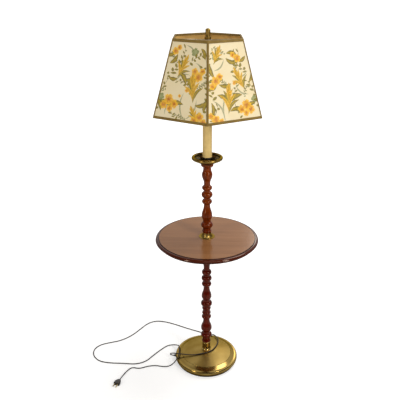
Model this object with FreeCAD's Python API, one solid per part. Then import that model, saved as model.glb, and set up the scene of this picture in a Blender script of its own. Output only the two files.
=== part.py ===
"""Floor lamp with a round table on its turned column, a candle tube and a six-sided shade.

Millimetres, +Z up. The origin is on the floor at the centre of the base.
Each piece of the lamp has its own function, and main() writes one file for each.
"""
import FreeCAD, Part

import math
import os

Vector = FreeCAD.Vector
AXIS = Vector(0, 0, 1)
SAME_POINT = 1e-6            # points closer than this are one point

# ---------------------------------------------------------------- heights that carry the rest
BASE_TOP_Z = 51.1            # top of the base's shell, where the neck stands
NECK_HEIGHT = 39.0           # brass neck between the base and the column
TABLE_TOP_Z = 581.4          # upper face of the table
TABLE_THICKNESS = 20.0
COLUMN_TOP_Z = 877.9         # top of the wooden column, under the pan's cup
SLEEVE_LENGTH = 154.7        # candle sleeve
HARP_HEIGHT = 255.0          # from the saddle's seat to the seat under the spider
SHADE_DROP = 243.7           # from the spider's seat down to the shade's lower edge
SHADE_RISE = 11.6            # from the spider's seat up to the shade's upper edge

# ---------------------------------------------------------------- rod that clamps the lamp together
ROD_RADIUS = 5.0
ROD_BORE_RADIUS = 3.4
ROD_CLEARANCE = 0.3          # between the rod and what it passes through
ROD_FOOT_Z = 18.4
ROD_PAST_SADDLE = 5.0
THREAD_CLEARANCE = 0.08      # between a thread and what is screwed on it
NUT_SIDES = 6
NUT_ACROSS_FLATS = 15.0
NUT_HEIGHT = 3.6
WASHER_RADIUS = 15.0
WASHER_THICKNESS = 1.5

# ---------------------------------------------------------------- base
FELT_THICKNESS = 2.0
FELT_RADIUS = 121.0
WEIGHT_RADIUS = 118.0
WEIGHT_RIM_Z = 9.0
WEIGHT_SHOULDER_RADIUS = 97.0
WEIGHT_SHOULDER_Z = 27.0
WEIGHT_CROWN_RADIUS = 28.0
WEIGHT_CROWN_Z = 40.0
WEIGHT_BOSS_RADIUS = 17.0
WEIGHT_POCKET_RADIUS = 19.0  # pocket for the nut, in the underside
WEIGHT_POCKET_Z = 24.0
WEIGHT_CHANNEL_WIDTH = 12.0  # channel for the lead, in the underside
WEIGHT_CHANNEL_Z = 18.5

SHELL_WALL = 1.0
SHELL_CROWN_RADIUS = 20.6
SHELL_DOME_RADIUS = 102.6    # outer edge of the shallow dome
SHELL_DOME_Z = 35.7
SHELL_DOME_SAG = 1.2         # how far the dome swells over a plain cone
SHELL_STEP = 2.2             # drop at the dome's edge
SHELL_COVE_RADIUS = 126.8    # where the cove meets the half-round rim
SHELL_COVE_Z = 26.0
SHELL_COVE_SAG = 2.2
SHELL_RIM_RADIUS = 129.8
SHELL_FOOT_RADIUS = 122.6
SHELL_FOOT_Z = 5.4           # underside of the rim
SHELL_EDGE_Z = 1.0           # lower edge, just clear of the floor

NECK_RADIUS = 16.4
NECK_FOOT_RADIUS = 20.4
NECK_FOOT_HEIGHT = 2.5
NECK_FLARE_HEIGHT = 9.0
NECK_FLARE_SAG = 1.8
NECK_LIP_RADIUS = 17.6
NECK_LIP_HEIGHT = 4.0

# ---------------------------------------------------------------- turned column, from the neck to the table
NARROW_NECK_RADIUS = 12.2    # thin ends of the vases
BEAD_NECK_RADIUS = 13.3      # hollows between beads that stand close together
WIDE_NECK_RADIUS = 15.2      # plain drums near the foot of each column
FOOT_RING_RADIUS = 18.4
FOOT_RING_HEIGHT = 7.0
BEAD_RADIUS = 19.4
BEAD_HEIGHT = 18.5
BROAD_BEAD_RADIUS = 23.0
BROAD_BEAD_HEIGHT = 22.5
SMALL_BEAD_RADIUS = 17.8
SMALL_BEAD_HEIGHT = 10.8
MIDDLE_BEAD_RADIUS = 20.5
MIDDLE_BEAD_HEIGHT = 23.0
LOW_BEAD_HEIGHT = 17.0
TOP_BEAD_HEIGHT = 21.0
FILLET_HEIGHT = 5.5          # plain fillet between two turnings
THROAT_HEIGHT = 8.0          # plain throat beside the thin end of a vase
DRUM_HEIGHT = 17.5
WAIST_HEIGHT = 11.5          # plain waist between the two small beads
LOWER_VASE_RADIUS = 22.4
LOWER_VASE_SHOULDER = 18.5   # from a vase's neck to its widest point
LOWER_VASE_TAPER = 39.5      # from a vase's widest point to its thin end
MIDDLE_VASE_RADIUS = 20.0
MIDDLE_VASE_SHOULDER = 16.5
MIDDLE_VASE_TAPER = 41.0
TOP_VASE_RADIUS = 20.8       # its taper takes up what is left of the column
TOP_VASE_SHOULDER = 22.0
CAPITAL_RADIUS = 27.0
CAPITAL_FLARE = 10.0
CAPITAL_BAND = 5.0
VASE_STIFFNESS = 0.45        # share of a vase's curve that runs straight on at each end

# ---------------------------------------------------------------- turned column, from the table to the pan
UPPER_FOOT_HEIGHT = 3.0
UPPER_DRUM_HEIGHT = 11.0
UPPER_VASE_RADIUS = 20.6
UPPER_VASE_SHOULDER = 20.0
UPPER_VASE_TAPER = 45.0
BALL_RADIUS = 21.1
BALL_HEIGHT = 26.0
HIGH_VASE_RADIUS = 20.0      # its taper takes up what is left of the column
HIGH_VASE_SHOULDER = 21.0
TOP_CAPITAL_RADIUS = 23.4
TOP_CAPITAL_FLARE = 11.0
TOP_CAPITAL_BAND = 5.0

# ---------------------------------------------------------------- table
TABLE_RADIUS = 199.5
TABLE_FIELD_RADIUS = 187.0   # flat field inside the moulded edge
TABLE_STEP = 1.6             # drop from the field to the moulding
TABLE_QUIRK_WIDTH = 2.2      # groove between the field and the moulding
TABLE_QUIRK_DEPTH = 1.4      # below the step
TABLE_NOSE_DROP = 8.0        # from the step down to the widest point
TABLE_TUCK_RADIUS = 190.5
TABLE_BEAD_HEIGHT = 5.0
TABLE_BEAD_SWELL = 2.0
TABLE_UNDERCUT_RADIUS = 187.5
TABLE_TUCK_SAG = -1.6        # hollow between the lower bead and the widest point
TABLE_NOSE_SWELL = 2.6       # roundness of the top edge
TABLE_RECESS_RADIUS = 31.2   # shallow seat for the collar's flange
TABLE_RECESS_DEPTH = 0.5

PLATE_RADIUS = 48.0
PLATE_THICKNESS = 3.0
PLATE_SCREW_CIRCLE = 37.0    # radius of the circle of screws
PLATE_SCREW_COUNT = 4
SCREW_RADIUS = 1.9
SCREW_HEAD_RADIUS = 4.0
SCREW_HEAD_HEIGHT = 2.2
SCREW_LENGTH = 15.0
SCREW_CLEARANCE = 0.1

COLLAR_HEIGHT = 18.0
COLLAR_FLANGE_RADIUS = 30.0
COLLAR_FLANGE_HEIGHT = 1.8
COLLAR_BELL_RADIUS = 22.5
COLLAR_TOP_RADIUS = 16.0
COLLAR_BELL_SAG = 1.4

# ---------------------------------------------------------------- pan and candle
CUP_HEIGHT = 9.0
CUP_FOOT_RADIUS = 23.8
CUP_MOUTH_RADIUS = 27.5
CUP_SAG = 1.0
PAN_WALL = 1.0
PAN_FLOOR_RADIUS = 31.0
PAN_RIM_RADIUS = 51.8        # centre line of the rolled rim
PAN_RIM_ROLL = 6.0           # radius of the roll
PAN_RIM_RISE = 14.0          # from the pan's underside to the roll's centre
PAN_FLARE_SAG = 3.0          # bowl shape of the pan's wall
SEAT_HEIGHT = 12.5
SEAT_FOOT_RADIUS = 21.8
SEAT_FOOT_HEIGHT = 3.0
SEAT_SAG = 1.0
SEAT_TOP_RADIUS = 18.8
RING_HEIGHT = 5.0
RING_RADIUS = 18.4
SLEEVE_RADIUS = 17.0
SLEEVE_WALL = 1.2
CAP_RADIUS = 18.0
CAP_HEIGHT = 4.0
CAP_EDGE = 1.5               # bevel round the cap's top
CAP_PLUG_DEPTH = 5.0
CAP_PLUG_CLEARANCE = 0.2

# ---------------------------------------------------------------- lamp holder and bulb
SADDLE_THICKNESS = 1.5
SADDLE_WIDTH = 12.0
SADDLE_TAB_WIDTH = 5.0
SADDLE_TAB_HEIGHT = 14.0
SOCKET_CAP_HEIGHT = 19.0
SOCKET_CAP_RADIUS = 17.6
SOCKET_CAP_NECK_RADIUS = 7.5
SOCKET_CAP_NECK_HEIGHT = 5.0
SOCKET_CAP_SAG = 2.2
SOCKET_CAP_WALL = 0.8
SOCKET_LAP = 4.0             # how far the shell goes down inside the cap
SOCKET_SHELL_HEIGHT = 40.0
SOCKET_SHELL_WALL = 0.6
SOCKET_GAP = 0.15            # between each layer of the holder and the next
SOCKET_LINER_WALL = 0.6
SOCKET_BODY_HEIGHT = 12.0
SCREW_SHELL_WALL = 0.4
SCREW_SHELL_RADIUS = 13.9
SCREW_SHELL_GAP = 0.2        # between the screw shell and the glass over it
KEY_SHAFT_RADIUS = 1.5
KEY_SHAFT_CLEARANCE = 0.3    # round the shaft where it passes the shell and liner
SHAFT_FIT = 0.05             # round the shaft where it turns in the body
KEY_REACH = 33.0             # from the axis to the key's outer edge
KEY_GRIP_RADIUS = 6.5
KEY_GRIP_THICKNESS = 3.2
KEY_GAP = 1.2                # between the shell and the key's grip
KEY_SHAFT_DEPTH = 3.0        # how far the shaft goes into the body

BULB_CAP_RADIUS = 13.1
BULB_CAP_HEIGHT = 24.0
BULB_CONTACT_RADIUS = 4.5
BULB_CONTACT_HEIGHT = 2.0
BULB_GAP = 0.2               # between the bulb's contact and the body
BULB_NECK_RADIUS = 14.5
BULB_RADIUS = 30.0
BULB_HEIGHT = 82.0           # glass above the cap
BULB_WALL = 0.8

# ---------------------------------------------------------------- harp and finial
HARP_WIRE_RADIUS = 1.6
HARP_FOOT_X = 33.0           # from the axis to each leg
HARP_FOOT_GAP = 1.0          # between the leg's end and the saddle
HARP_LEG_HEIGHT = 34.0       # straight part of each leg above the saddle
HARP_BOW_X = 52.0
HARP_BOW_HEIGHT = 178.0      # widest point, above the saddle
HARP_SHOULDER_TURN = 40.0    # degrees that the wire leans in before it rounds off to the bridge
HARP_BRIDGE_X = 8.0          # half of the straight bridge at the top
FERRULE_LENGTH = 13.0
FERRULE_BORE_RADIUS = 3.8
FERRULE_GAP = 0.3            # between the ferrule and the strap that it rests on
FERRULE_WALL = 0.8
TAB_GAP = 0.25               # between the leg and the saddle's tab
BLOCK_RADIUS = 7.4
BLOCK_HEIGHT = 9.0
BLOCK_WIRE_DEPTH = 5.5       # bridge wire below the block's top
STUD_RADIUS = 3.1
STUD_HEIGHT = 15.0
FINIAL_GAP = 0.3             # between the finial and the spider's washer
FINIAL_HEIGHT = 36.0
FINIAL_NUT_RADIUS = 11.5
FINIAL_NUT_HEIGHT = 8.5
FINIAL_WAIST_RADIUS = 6.5
FINIAL_WAIST_HEIGHT = 2.5
FINIAL_POST_RADIUS = 8.5
FINIAL_CROWN_HEIGHT = 4.0
FINIAL_BORE_CLEARANCE = 0.08

# ---------------------------------------------------------------- shade
SHADE_SIDES = 6
SHADE_FIRST_CORNER = -90.0   # degrees; one corner faces the front
SHADE_TOP_RADIUS = 134.2     # axis to corner at the upper edge
SHADE_BOTTOM_RADIUS = 213.8  # axis to corner at the lower edge
TAPE_WIDTH = 9.0
TAPE_THICKNESS = 0.8
PANEL_THICKNESS = 1.0
PANEL_CLEARANCE = 0.15       # each side of a seam
FRAME_WIRE_RADIUS = 1.5
FRAME_GAP = 0.15             # between the wires and the panels
RIB_SETBACK = 1.82           # from a rib's end to the centre line of the ring it is welded to
ARM_SETBACK = 2.65           # from a spider arm's end to the corner of the upper ring's centre line
SPIDER_ARMS = 3
WASHER_HOLE_CLEARANCE = 0.4  # round the stud
SPIDER_WIRE_RADIUS = 1.5
SPIDER_WASHER_RADIUS = 15.0
SPIDER_WASHER_THICKNESS = 1.5
ARM_BRAZE_GAP = 0.2          # between the washer's edge and the end of each arm
SHADE_REACH = 2.5 * SHADE_BOTTOM_RADIUS  # half size of the blocks that cut the shade's skins

# ---------------------------------------------------------------- lead, bushing and plug
CORD_DIAMETER = 4.4
EXIT_Z = 12.0                # height of the lead's hole in the rim
BUSHING_INNER_X = -117.0
BUSHING_LENGTH = 22.0
BUSHING_RADIUS = 4.2
BUSHING_TIP_RADIUS = 3.0
BUSHING_RIM_GAP = 0.2
BUSHING_FLANGE_RADIUS = 6.0
BUSHING_FLANGE_THICKNESS = 2.0
BUSHING_CLEARANCE = 0.2
WIRE_RADIUS = CORD_DIAMETER / 2
WIRE_BEND_RADIUS = 9.0
# Route of the lead from the bushing's tip to the plug: a close turn up over the rim, over the dome
# in front of the neck, off the dome behind it, out to the left on the floor and back over the rim.
CORD_ROUTE = (
    (-139.2, 0, 12), (-146, 0, 12.5), (-152, -2, 17), (-154, -6.5, 24.5), (-149, -12, 32),
    (-138, -18, 37.5), (-121, -26, 41), (-102, -31.5, 43.5), (-84, -37.5, 45.5), (-62, -41, 46.5),
    (-38, -40, 48.5), (-15, -36, 51.5), (8, -30, 53.5), (27.5, -15, 53.5), (39, 7, 52),
    (48, 31, 49.5), (52, 55.5, 47.5), (49, 80, 44.5), (40, 102, 39.5), (29.5, 120, 34),
    (17, 136, 20), (-0.5, 160, 6.5), (-27, 179.5, 2.2), (-58, 193, 2.2), (-98, 212, 2.2),
    (-148, 239, 2.2), (-196, 259, 2.2), (-239, 264, 2.2), (-275, 245, 2.2), (-305, 198, 2.2),
    (-339, 148, 2.2), (-383, 111, 2.2), (-432, 95, 2.2), (-470, 80, 2.2), (-492, 47, 2.2),
    (-487, 5, 2.2), (-456, -31, 2.2), (-408, -42.5, 2.2), (-352, -43.5, 2.2), (-295, -49, 2.2),
    (-254, -29, 2.2), (-229, 9, 2.2), (-199, 49, 2.2), (-171, 80, 2.2), (-146, 82, 4.5),
    (-128, 65, 16), (-118.5, 41.5, 30.5), (-115.5, 21.5, 33), (-115, 1, 34), (-115.5, -20, 33.5),
    (-118, -36, 32), (-125, -48.5, 27), (-137, -57.5, 15), (-155, -64, 5), (-182.5, -62.5, 2.2),
    (-213, -55, 2.2), (-245, -60.5, 2.2), (-279, -77, 2.2), (-311, -67.5, 2.2), (-327, -92, 3.5),
    (-338.5, -121.5, 7), (-349.5, -151, 7),
)
ARC_SHARE = 0.45             # part of the shorter run that each bend takes up
PLUG_LENGTH = 27.0
PLUG_WIDTH = 24.0
PLUG_TAIL_WIDTH = 12.0
PLUG_HEIGHT = 14.0
PLUG_TAIL_HEIGHT = 9.0
PLUG_SHOULDER_LENGTH = 16.0  # from the tail to where the body is widest
BLADE_SPACING = 12.7
BLADE_LENGTH = 17.0
BLADE_WIDTH = 6.3
BLADE_THICKNESS = 1.5
BLADE_ROOT = 4.0             # part of each blade inside the body

# ---------------------------------------------------------------- heights worked out from those above
NECK_TOP_Z = BASE_TOP_Z + NECK_HEIGHT
TABLE_UNDER_Z = TABLE_TOP_Z - TABLE_THICKNESS
PLATE_UNDER_Z = TABLE_UNDER_Z - PLATE_THICKNESS
COLLAR_Z = TABLE_TOP_Z - TABLE_RECESS_DEPTH
COLLAR_TOP_Z = TABLE_TOP_Z + COLLAR_HEIGHT
PAN_UNDER_Z = COLUMN_TOP_Z + CUP_HEIGHT
SEAT_Z = PAN_UNDER_Z + PAN_WALL
RING_Z = SEAT_Z + SEAT_HEIGHT
SLEEVE_Z = RING_Z + RING_HEIGHT
SLEEVE_TOP_Z = SLEEVE_Z + SLEEVE_LENGTH
SADDLE_Z = SLEEVE_TOP_Z + CAP_HEIGHT
HOLDER_Z = SADDLE_Z + SADDLE_THICKNESS
SPIDER_Z = SADDLE_Z + HARP_HEIGHT
SHADE_TOP_Z = SPIDER_Z + SHADE_RISE
SHADE_BOTTOM_Z = SPIDER_Z - SHADE_DROP
ROD_HOLE_RADIUS = ROD_RADIUS + ROD_CLEARANCE

# ---------------------------------------------------------------- places and radii worked out likewise
TAB_INNER_X = HARP_FOOT_X + HARP_WIRE_RADIUS + TAB_GAP
FERRULE_X = (HARP_FOOT_X - HARP_WIRE_RADIUS + TAB_INNER_X + SADDLE_THICKNESS) / 2
SHELL_Z = HOLDER_Z + SOCKET_CAP_HEIGHT - SOCKET_LAP
SHELL_RADIUS = SOCKET_CAP_RADIUS - SOCKET_CAP_WALL - SOCKET_GAP
LINER_RADIUS = SHELL_RADIUS - SOCKET_SHELL_WALL - SOCKET_GAP
BODY_RADIUS = LINER_RADIUS - SOCKET_LINER_WALL - SOCKET_GAP
SCREW_SHELL_Z = SHELL_Z + SOCKET_BODY_HEIGHT
KEY_Z = SHELL_Z + SOCKET_BODY_HEIGHT / 2
KEY_SHAFT_START = BODY_RADIUS - KEY_SHAFT_DEPTH
BULB_CAP_Z = SCREW_SHELL_Z + BULB_GAP + BULB_CONTACT_HEIGHT
BULB_GLASS_Z = BULB_CAP_Z + BULB_CAP_HEIGHT
SHADE_LEAN = math.atan((SHADE_BOTTOM_RADIUS - SHADE_TOP_RADIUS) * math.cos(math.pi / SHADE_SIDES)
                       / (SHADE_TOP_Z - SHADE_BOTTOM_Z))


# ================================================================ drawing helpers
class Outline:
    """Half outline of a turned piece, drawn point by point as (radius, height)."""

    def __init__(self, radius, height):
        self.first = Vector(radius, 0, height)
        self.end = self.first
        self.edges = []

    def line(self, radius, height):
        """Straight to a point."""
        target = Vector(radius, 0, height)
        self.edges.append(Part.LineSegment(self.end, target).toShape())
        self.end = target
        return self

    def up(self, rise):
        """Straight up, at the same radius."""
        return self.line(self.end.x, self.end.z + rise)

    def out(self, radius):
        """Straight across to another radius, at the same height."""
        return self.line(radius, self.end.z)

    def arc(self, radius, height, sag):
        """Arc to a point. It swells by sag to the right of the way there, or left if sag is negative."""
        target = Vector(radius, 0, height)
        way = target - self.end
        side = Vector(way.z, 0, -way.x).normalize()
        middle = (self.end + target) * 0.5 + side * sag
        self.edges.append(Part.Arc(self.end, middle, target).toShape())
        self.end = target
        return self

    def bead(self, bead_radius, height):
        """Rounded bead between two necks of the present radius."""
        return self.arc(self.end.x, self.end.z + height, bead_radius - self.end.x)

    def dome(self, rise):
        """Round cap that closes on the axis and is level there."""
        radius = self.end.x
        sphere_radius = (radius ** 2 + rise ** 2) / (2 * rise)
        half_turn = math.asin(radius / sphere_radius) / 2
        return self.arc(0.0, self.end.z + rise, sphere_radius * (1 - math.cos(half_turn)))

    def swell(self, radius, rise):
        """S-curve to another radius that sets off upwards and arrives upwards."""
        start = self.end
        target = Vector(radius, 0, start.z + rise)
        lead = AXIS * (rise * VASE_STIFFNESS)
        poles = [start, start + lead, target - lead, target]
        curve = Part.BezierCurve()
        curve.setPoles(poles)
        self.edges.append(curve.toShape())
        self.end = target
        return self

    def face(self):
        """The closed outline as a flat face."""
        if (self.end - self.first).Length > SAME_POINT:
            self.line(self.first.x, self.first.z)
        return Part.Face(Part.Wire(self.edges))

    def turned(self):
        """The closed outline turned about the lamp's axis."""
        return self.face().revolve(Vector(0, 0, 0), AXIS, 360)


def tube(outer_radius, inner_radius, bottom, top):
    """Plain tube or disc with a hole, on the lamp's axis."""
    outline = Outline(inner_radius, bottom).out(outer_radius).line(outer_radius, top).out(inner_radius)
    return outline.turned()


def rod(start, end, radius):
    """Round bar from one point to another."""
    way = end - start
    return Part.makeCylinder(radius, way.Length, start, way)


def polar(radius, degrees, height=0.0):
    """Point at a radius and bearing from the lamp's axis."""
    angle = math.radians(degrees)
    return Vector(radius * math.cos(angle), radius * math.sin(angle), height)


def tangent_arc(start, heading, end):
    """Arc that leaves start along heading and ends at end. Returns the edge and its last heading."""
    chord = end - start
    heading = Vector(heading).normalize()
    across = chord - heading * chord.dot(heading)
    radius = chord.Length ** 2 / (2 * across.Length)
    centre = start + across.normalize() * radius
    to_middle = ((start + end) * 0.5 - centre).normalize()
    edge = Part.Arc(start, centre + to_middle * radius, end).toShape()
    last = chord.normalize() * (2 * heading.dot(chord.normalize())) - heading
    return edge, last


def swept_circle(edges, start, heading, radius):
    """Round section carried along a chain of tangent edges."""
    section = Part.Wire([Part.Circle(start, heading, radius).toShape()])
    return Part.Wire(edges).makePipeShell([section], True, False)


# ================================================================ base
def felt_pad():
    return Part.makeCylinder(FELT_RADIUS, FELT_THICKNESS)


def base_weight():
    """Iron disc under the shell, with a boss that carries the neck and a pocket for the nut."""
    outline = Outline(ROD_HOLE_RADIUS, FELT_THICKNESS).out(WEIGHT_RADIUS)
    outline.line(WEIGHT_RADIUS, WEIGHT_RIM_Z).line(WEIGHT_SHOULDER_RADIUS, WEIGHT_SHOULDER_Z)
    outline.line(WEIGHT_CROWN_RADIUS, WEIGHT_CROWN_Z).line(WEIGHT_BOSS_RADIUS, WEIGHT_CROWN_Z)
    outline.line(WEIGHT_BOSS_RADIUS, BASE_TOP_Z - SHELL_WALL).out(ROD_HOLE_RADIUS)
    pocket = Part.makeCylinder(WEIGHT_POCKET_RADIUS, WEIGHT_POCKET_Z - FELT_THICKNESS,
                               AXIS * FELT_THICKNESS)
    channel = Part.makeBox(WEIGHT_RADIUS, WEIGHT_CHANNEL_WIDTH, WEIGHT_CHANNEL_Z - FELT_THICKNESS,
                           Vector(-WEIGHT_RADIUS, -WEIGHT_CHANNEL_WIDTH / 2, FELT_THICKNESS))
    return outline.turned().cut(pocket).cut(channel)


def base_shell():
    """Spun brass cover: a shallow dome, a cove and a half-round rim, open underneath."""
    outline = Outline(0.0, BASE_TOP_Z).out(SHELL_CROWN_RADIUS)
    outline.arc(SHELL_DOME_RADIUS, SHELL_DOME_Z, -SHELL_DOME_SAG)
    outline.line(SHELL_DOME_RADIUS + SHELL_STEP / 2, SHELL_DOME_Z - SHELL_STEP)
    outline.arc(SHELL_COVE_RADIUS, SHELL_COVE_Z, SHELL_COVE_SAG)
    roll = SHELL_RIM_RADIUS - (SHELL_COVE_RADIUS + SHELL_FOOT_RADIUS) / 2
    outline.arc(SHELL_FOOT_RADIUS, SHELL_FOOT_Z, -roll)
    outline.line(SHELL_FOOT_RADIUS, SHELL_EDGE_Z - SHELL_WALL).out(0.0)
    section = outline.face()
    inner = section.makeOffset2D(-SHELL_WALL)
    shell = section.cut(inner).revolve(Vector(0, 0, 0), AXIS, 360)
    open_foot = Part.makeCylinder(SHELL_RIM_RADIUS, SHELL_EDGE_Z)
    rod_hole = Part.makeCylinder(ROD_HOLE_RADIUS, BASE_TOP_Z)
    cord_hole = rod(Vector(-SHELL_RIM_RADIUS, 0, EXIT_Z), Vector(BUSHING_INNER_X, 0, EXIT_Z),
                    BUSHING_RADIUS + BUSHING_CLEARANCE)
    return shell.cut(open_foot).cut(rod_hole).cut(cord_hole)


def base_neck():
    """Brass neck that stands on the shell and carries the column."""
    outline = Outline(ROD_HOLE_RADIUS, BASE_TOP_Z).out(NECK_FOOT_RADIUS).up(NECK_FOOT_HEIGHT)
    outline.arc(NECK_RADIUS, BASE_TOP_Z + NECK_FOOT_HEIGHT + NECK_FLARE_HEIGHT, -NECK_FLARE_SAG)
    outline.line(NECK_RADIUS, NECK_TOP_Z - NECK_LIP_HEIGHT)
    outline.bead(NECK_LIP_RADIUS, NECK_LIP_HEIGHT).out(ROD_HOLE_RADIUS)
    return outline.turned()


# ================================================================ column
def lower_column():
    """Turned column from the brass neck to the plate under the table."""
    outline = Outline(ROD_HOLE_RADIUS, NECK_TOP_Z).out(WIDE_NECK_RADIUS)
    outline.bead(FOOT_RING_RADIUS, FOOT_RING_HEIGHT).up(DRUM_HEIGHT)
    outline.bead(BROAD_BEAD_RADIUS, BEAD_HEIGHT).up(FILLET_HEIGHT)
    outline.swell(LOWER_VASE_RADIUS, LOWER_VASE_SHOULDER).swell(BEAD_NECK_RADIUS, LOWER_VASE_TAPER)
    outline.up(THROAT_HEIGHT).bead(BEAD_RADIUS, LOW_BEAD_HEIGHT)
    outline.out(WIDE_NECK_RADIUS).up(FILLET_HEIGHT).bead(SMALL_BEAD_RADIUS, SMALL_BEAD_HEIGHT)
    outline.up(WAIST_HEIGHT).bead(SMALL_BEAD_RADIUS, SMALL_BEAD_HEIGHT).up(FILLET_HEIGHT)
    outline.bead(BROAD_BEAD_RADIUS, BROAD_BEAD_HEIGHT).up(FILLET_HEIGHT)
    outline.swell(MIDDLE_VASE_RADIUS, MIDDLE_VASE_SHOULDER).swell(NARROW_NECK_RADIUS, MIDDLE_VASE_TAPER)
    outline.up(THROAT_HEIGHT).out(BEAD_NECK_RADIUS)
    outline.bead(BEAD_RADIUS, BEAD_HEIGHT).up(FILLET_HEIGHT)
    outline.bead(MIDDLE_BEAD_RADIUS, MIDDLE_BEAD_HEIGHT).up(FILLET_HEIGHT)
    outline.bead(BEAD_RADIUS, TOP_BEAD_HEIGHT)
    outline.out(NARROW_NECK_RADIUS).up(THROAT_HEIGHT)
    capital_height = FILLET_HEIGHT + BEAD_HEIGHT + CAPITAL_FLARE + CAPITAL_BAND
    taper = PLATE_UNDER_Z - capital_height - TOP_VASE_SHOULDER - outline.end.z
    outline.swell(TOP_VASE_RADIUS, taper).swell(WIDE_NECK_RADIUS, TOP_VASE_SHOULDER)
    outline.up(FILLET_HEIGHT).bead(BROAD_BEAD_RADIUS, BEAD_HEIGHT)
    outline.swell(CAPITAL_RADIUS, CAPITAL_FLARE).up(CAPITAL_BAND).out(ROD_HOLE_RADIUS)
    return outline.turned()


def upper_column():
    """Turned column from the collar on the table to the cup under the pan."""
    outline = Outline(ROD_HOLE_RADIUS, COLLAR_TOP_Z).out(WIDE_NECK_RADIUS).up(UPPER_FOOT_HEIGHT)
    outline.bead(FOOT_RING_RADIUS, FOOT_RING_HEIGHT).up(UPPER_DRUM_HEIGHT)
    outline.bead(BROAD_BEAD_RADIUS, BROAD_BEAD_HEIGHT).up(FILLET_HEIGHT)
    outline.swell(UPPER_VASE_RADIUS, UPPER_VASE_SHOULDER).swell(NARROW_NECK_RADIUS, UPPER_VASE_TAPER)
    outline.up(FILLET_HEIGHT).bead(BEAD_RADIUS, BEAD_HEIGHT)
    outline.up(FILLET_HEIGHT).bead(BALL_RADIUS, BALL_HEIGHT)
    outline.up(FILLET_HEIGHT).bead(BEAD_RADIUS, BEAD_HEIGHT)
    outline.up(THROAT_HEIGHT)
    capital_height = FILLET_HEIGHT + TOP_CAPITAL_FLARE + TOP_CAPITAL_BAND
    taper = COLUMN_TOP_Z - capital_height - HIGH_VASE_SHOULDER - outline.end.z
    outline.swell(HIGH_VASE_RADIUS, taper).swell(WIDE_NECK_RADIUS, HIGH_VASE_SHOULDER)
    outline.up(FILLET_HEIGHT).swell(TOP_CAPITAL_RADIUS, TOP_CAPITAL_FLARE)
    outline.up(TOP_CAPITAL_BAND).out(ROD_HOLE_RADIUS)
    return outline.turned()


def centre_rod():
    """Threaded tube that runs from the nut under the base to the saddle and carries the wires."""
    return tube(ROD_RADIUS, ROD_BORE_RADIUS, ROD_FOOT_Z, HOLDER_Z + ROD_PAST_SADDLE)


def foot_washer():
    return tube(WASHER_RADIUS, ROD_HOLE_RADIUS, WEIGHT_POCKET_Z - WASHER_THICKNESS, WEIGHT_POCKET_Z)


def foot_nut():
    """Hexagon nut that pulls the whole lamp together from below."""
    top = WEIGHT_POCKET_Z - WASHER_THICKNESS
    reach = NUT_ACROSS_FLATS / 2 / math.cos(math.pi / NUT_SIDES)
    corners = [polar(reach, index * 360.0 / NUT_SIDES, top - NUT_HEIGHT) for index in range(NUT_SIDES + 1)]
    nut = Part.Face(Part.makePolygon(corners)).extrude(AXIS * NUT_HEIGHT)
    hole = Part.makeCylinder(ROD_RADIUS + THREAD_CLEARANCE, NUT_HEIGHT, AXIS * (top - NUT_HEIGHT))
    return nut.cut(hole)


# ================================================================ table
def plate_screw_places():
    first = 180.0 / PLATE_SCREW_COUNT
    return [polar(PLATE_SCREW_CIRCLE, first + index * 360.0 / PLATE_SCREW_COUNT)
            for index in range(PLATE_SCREW_COUNT)]


def table_plate():
    """Steel plate screwed under the table, clamped on top of the lower column."""
    plate = tube(PLATE_RADIUS, ROD_HOLE_RADIUS, PLATE_UNDER_Z, TABLE_UNDER_Z)
    for place in plate_screw_places():
        plate = plate.cut(Part.makeCylinder(SCREW_RADIUS + SCREW_CLEARANCE, PLATE_THICKNESS,
                                            place + AXIS * PLATE_UNDER_Z))
    return plate


def table_screws():
    """Round-headed wood screws that hold the plate to the table."""
    screws = []
    for place in plate_screw_places():
        head_z = PLATE_UNDER_Z - SCREW_HEAD_HEIGHT
        head = Part.makeCylinder(SCREW_HEAD_RADIUS, SCREW_HEAD_HEIGHT, place + AXIS * head_z)
        shank = Part.makeCylinder(SCREW_RADIUS, SCREW_LENGTH, place + AXIS * PLATE_UNDER_Z)
        screws.append(head.fuse(shank).removeSplitter())
    return Part.makeCompound(screws)


def table_top():
    """Round wooden table: a flat field, a groove round it and a rounded edge tucked in underneath."""
    outline = Outline(ROD_HOLE_RADIUS, TABLE_UNDER_Z).out(TABLE_UNDERCUT_RADIUS)
    outline.arc(TABLE_TUCK_RADIUS, TABLE_UNDER_Z + TABLE_BEAD_HEIGHT, TABLE_BEAD_SWELL)
    step_z = TABLE_TOP_Z - TABLE_STEP
    outline.arc(TABLE_RADIUS, step_z - TABLE_NOSE_DROP, TABLE_TUCK_SAG)
    outline.arc(TABLE_FIELD_RADIUS + TABLE_QUIRK_WIDTH, step_z, TABLE_NOSE_SWELL)
    outline.up(-TABLE_QUIRK_DEPTH).out(TABLE_FIELD_RADIUS).line(TABLE_FIELD_RADIUS, TABLE_TOP_Z)
    outline.out(TABLE_RECESS_RADIUS).up(-TABLE_RECESS_DEPTH).out(ROD_HOLE_RADIUS)
    top = outline.turned()
    hole_depth = SCREW_LENGTH - PLATE_THICKNESS + SCREW_CLEARANCE
    for place in plate_screw_places():
        top = top.cut(Part.makeCylinder(SCREW_RADIUS + SCREW_CLEARANCE, hole_depth,
                                        place + AXIS * TABLE_UNDER_Z))
    return top


def table_collar():
    """Bell-shaped brass collar between the table and the upper column."""
    outline = Outline(ROD_HOLE_RADIUS, COLLAR_Z).out(COLLAR_FLANGE_RADIUS)
    outline.bead(COLLAR_FLANGE_RADIUS + COLLAR_FLANGE_HEIGHT / 2, COLLAR_FLANGE_HEIGHT)
    outline.out(COLLAR_BELL_RADIUS)
    outline.arc(COLLAR_TOP_RADIUS, COLLAR_TOP_Z, -COLLAR_BELL_SAG)
    outline.out(ROD_HOLE_RADIUS)
    return outline.turned()


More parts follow.
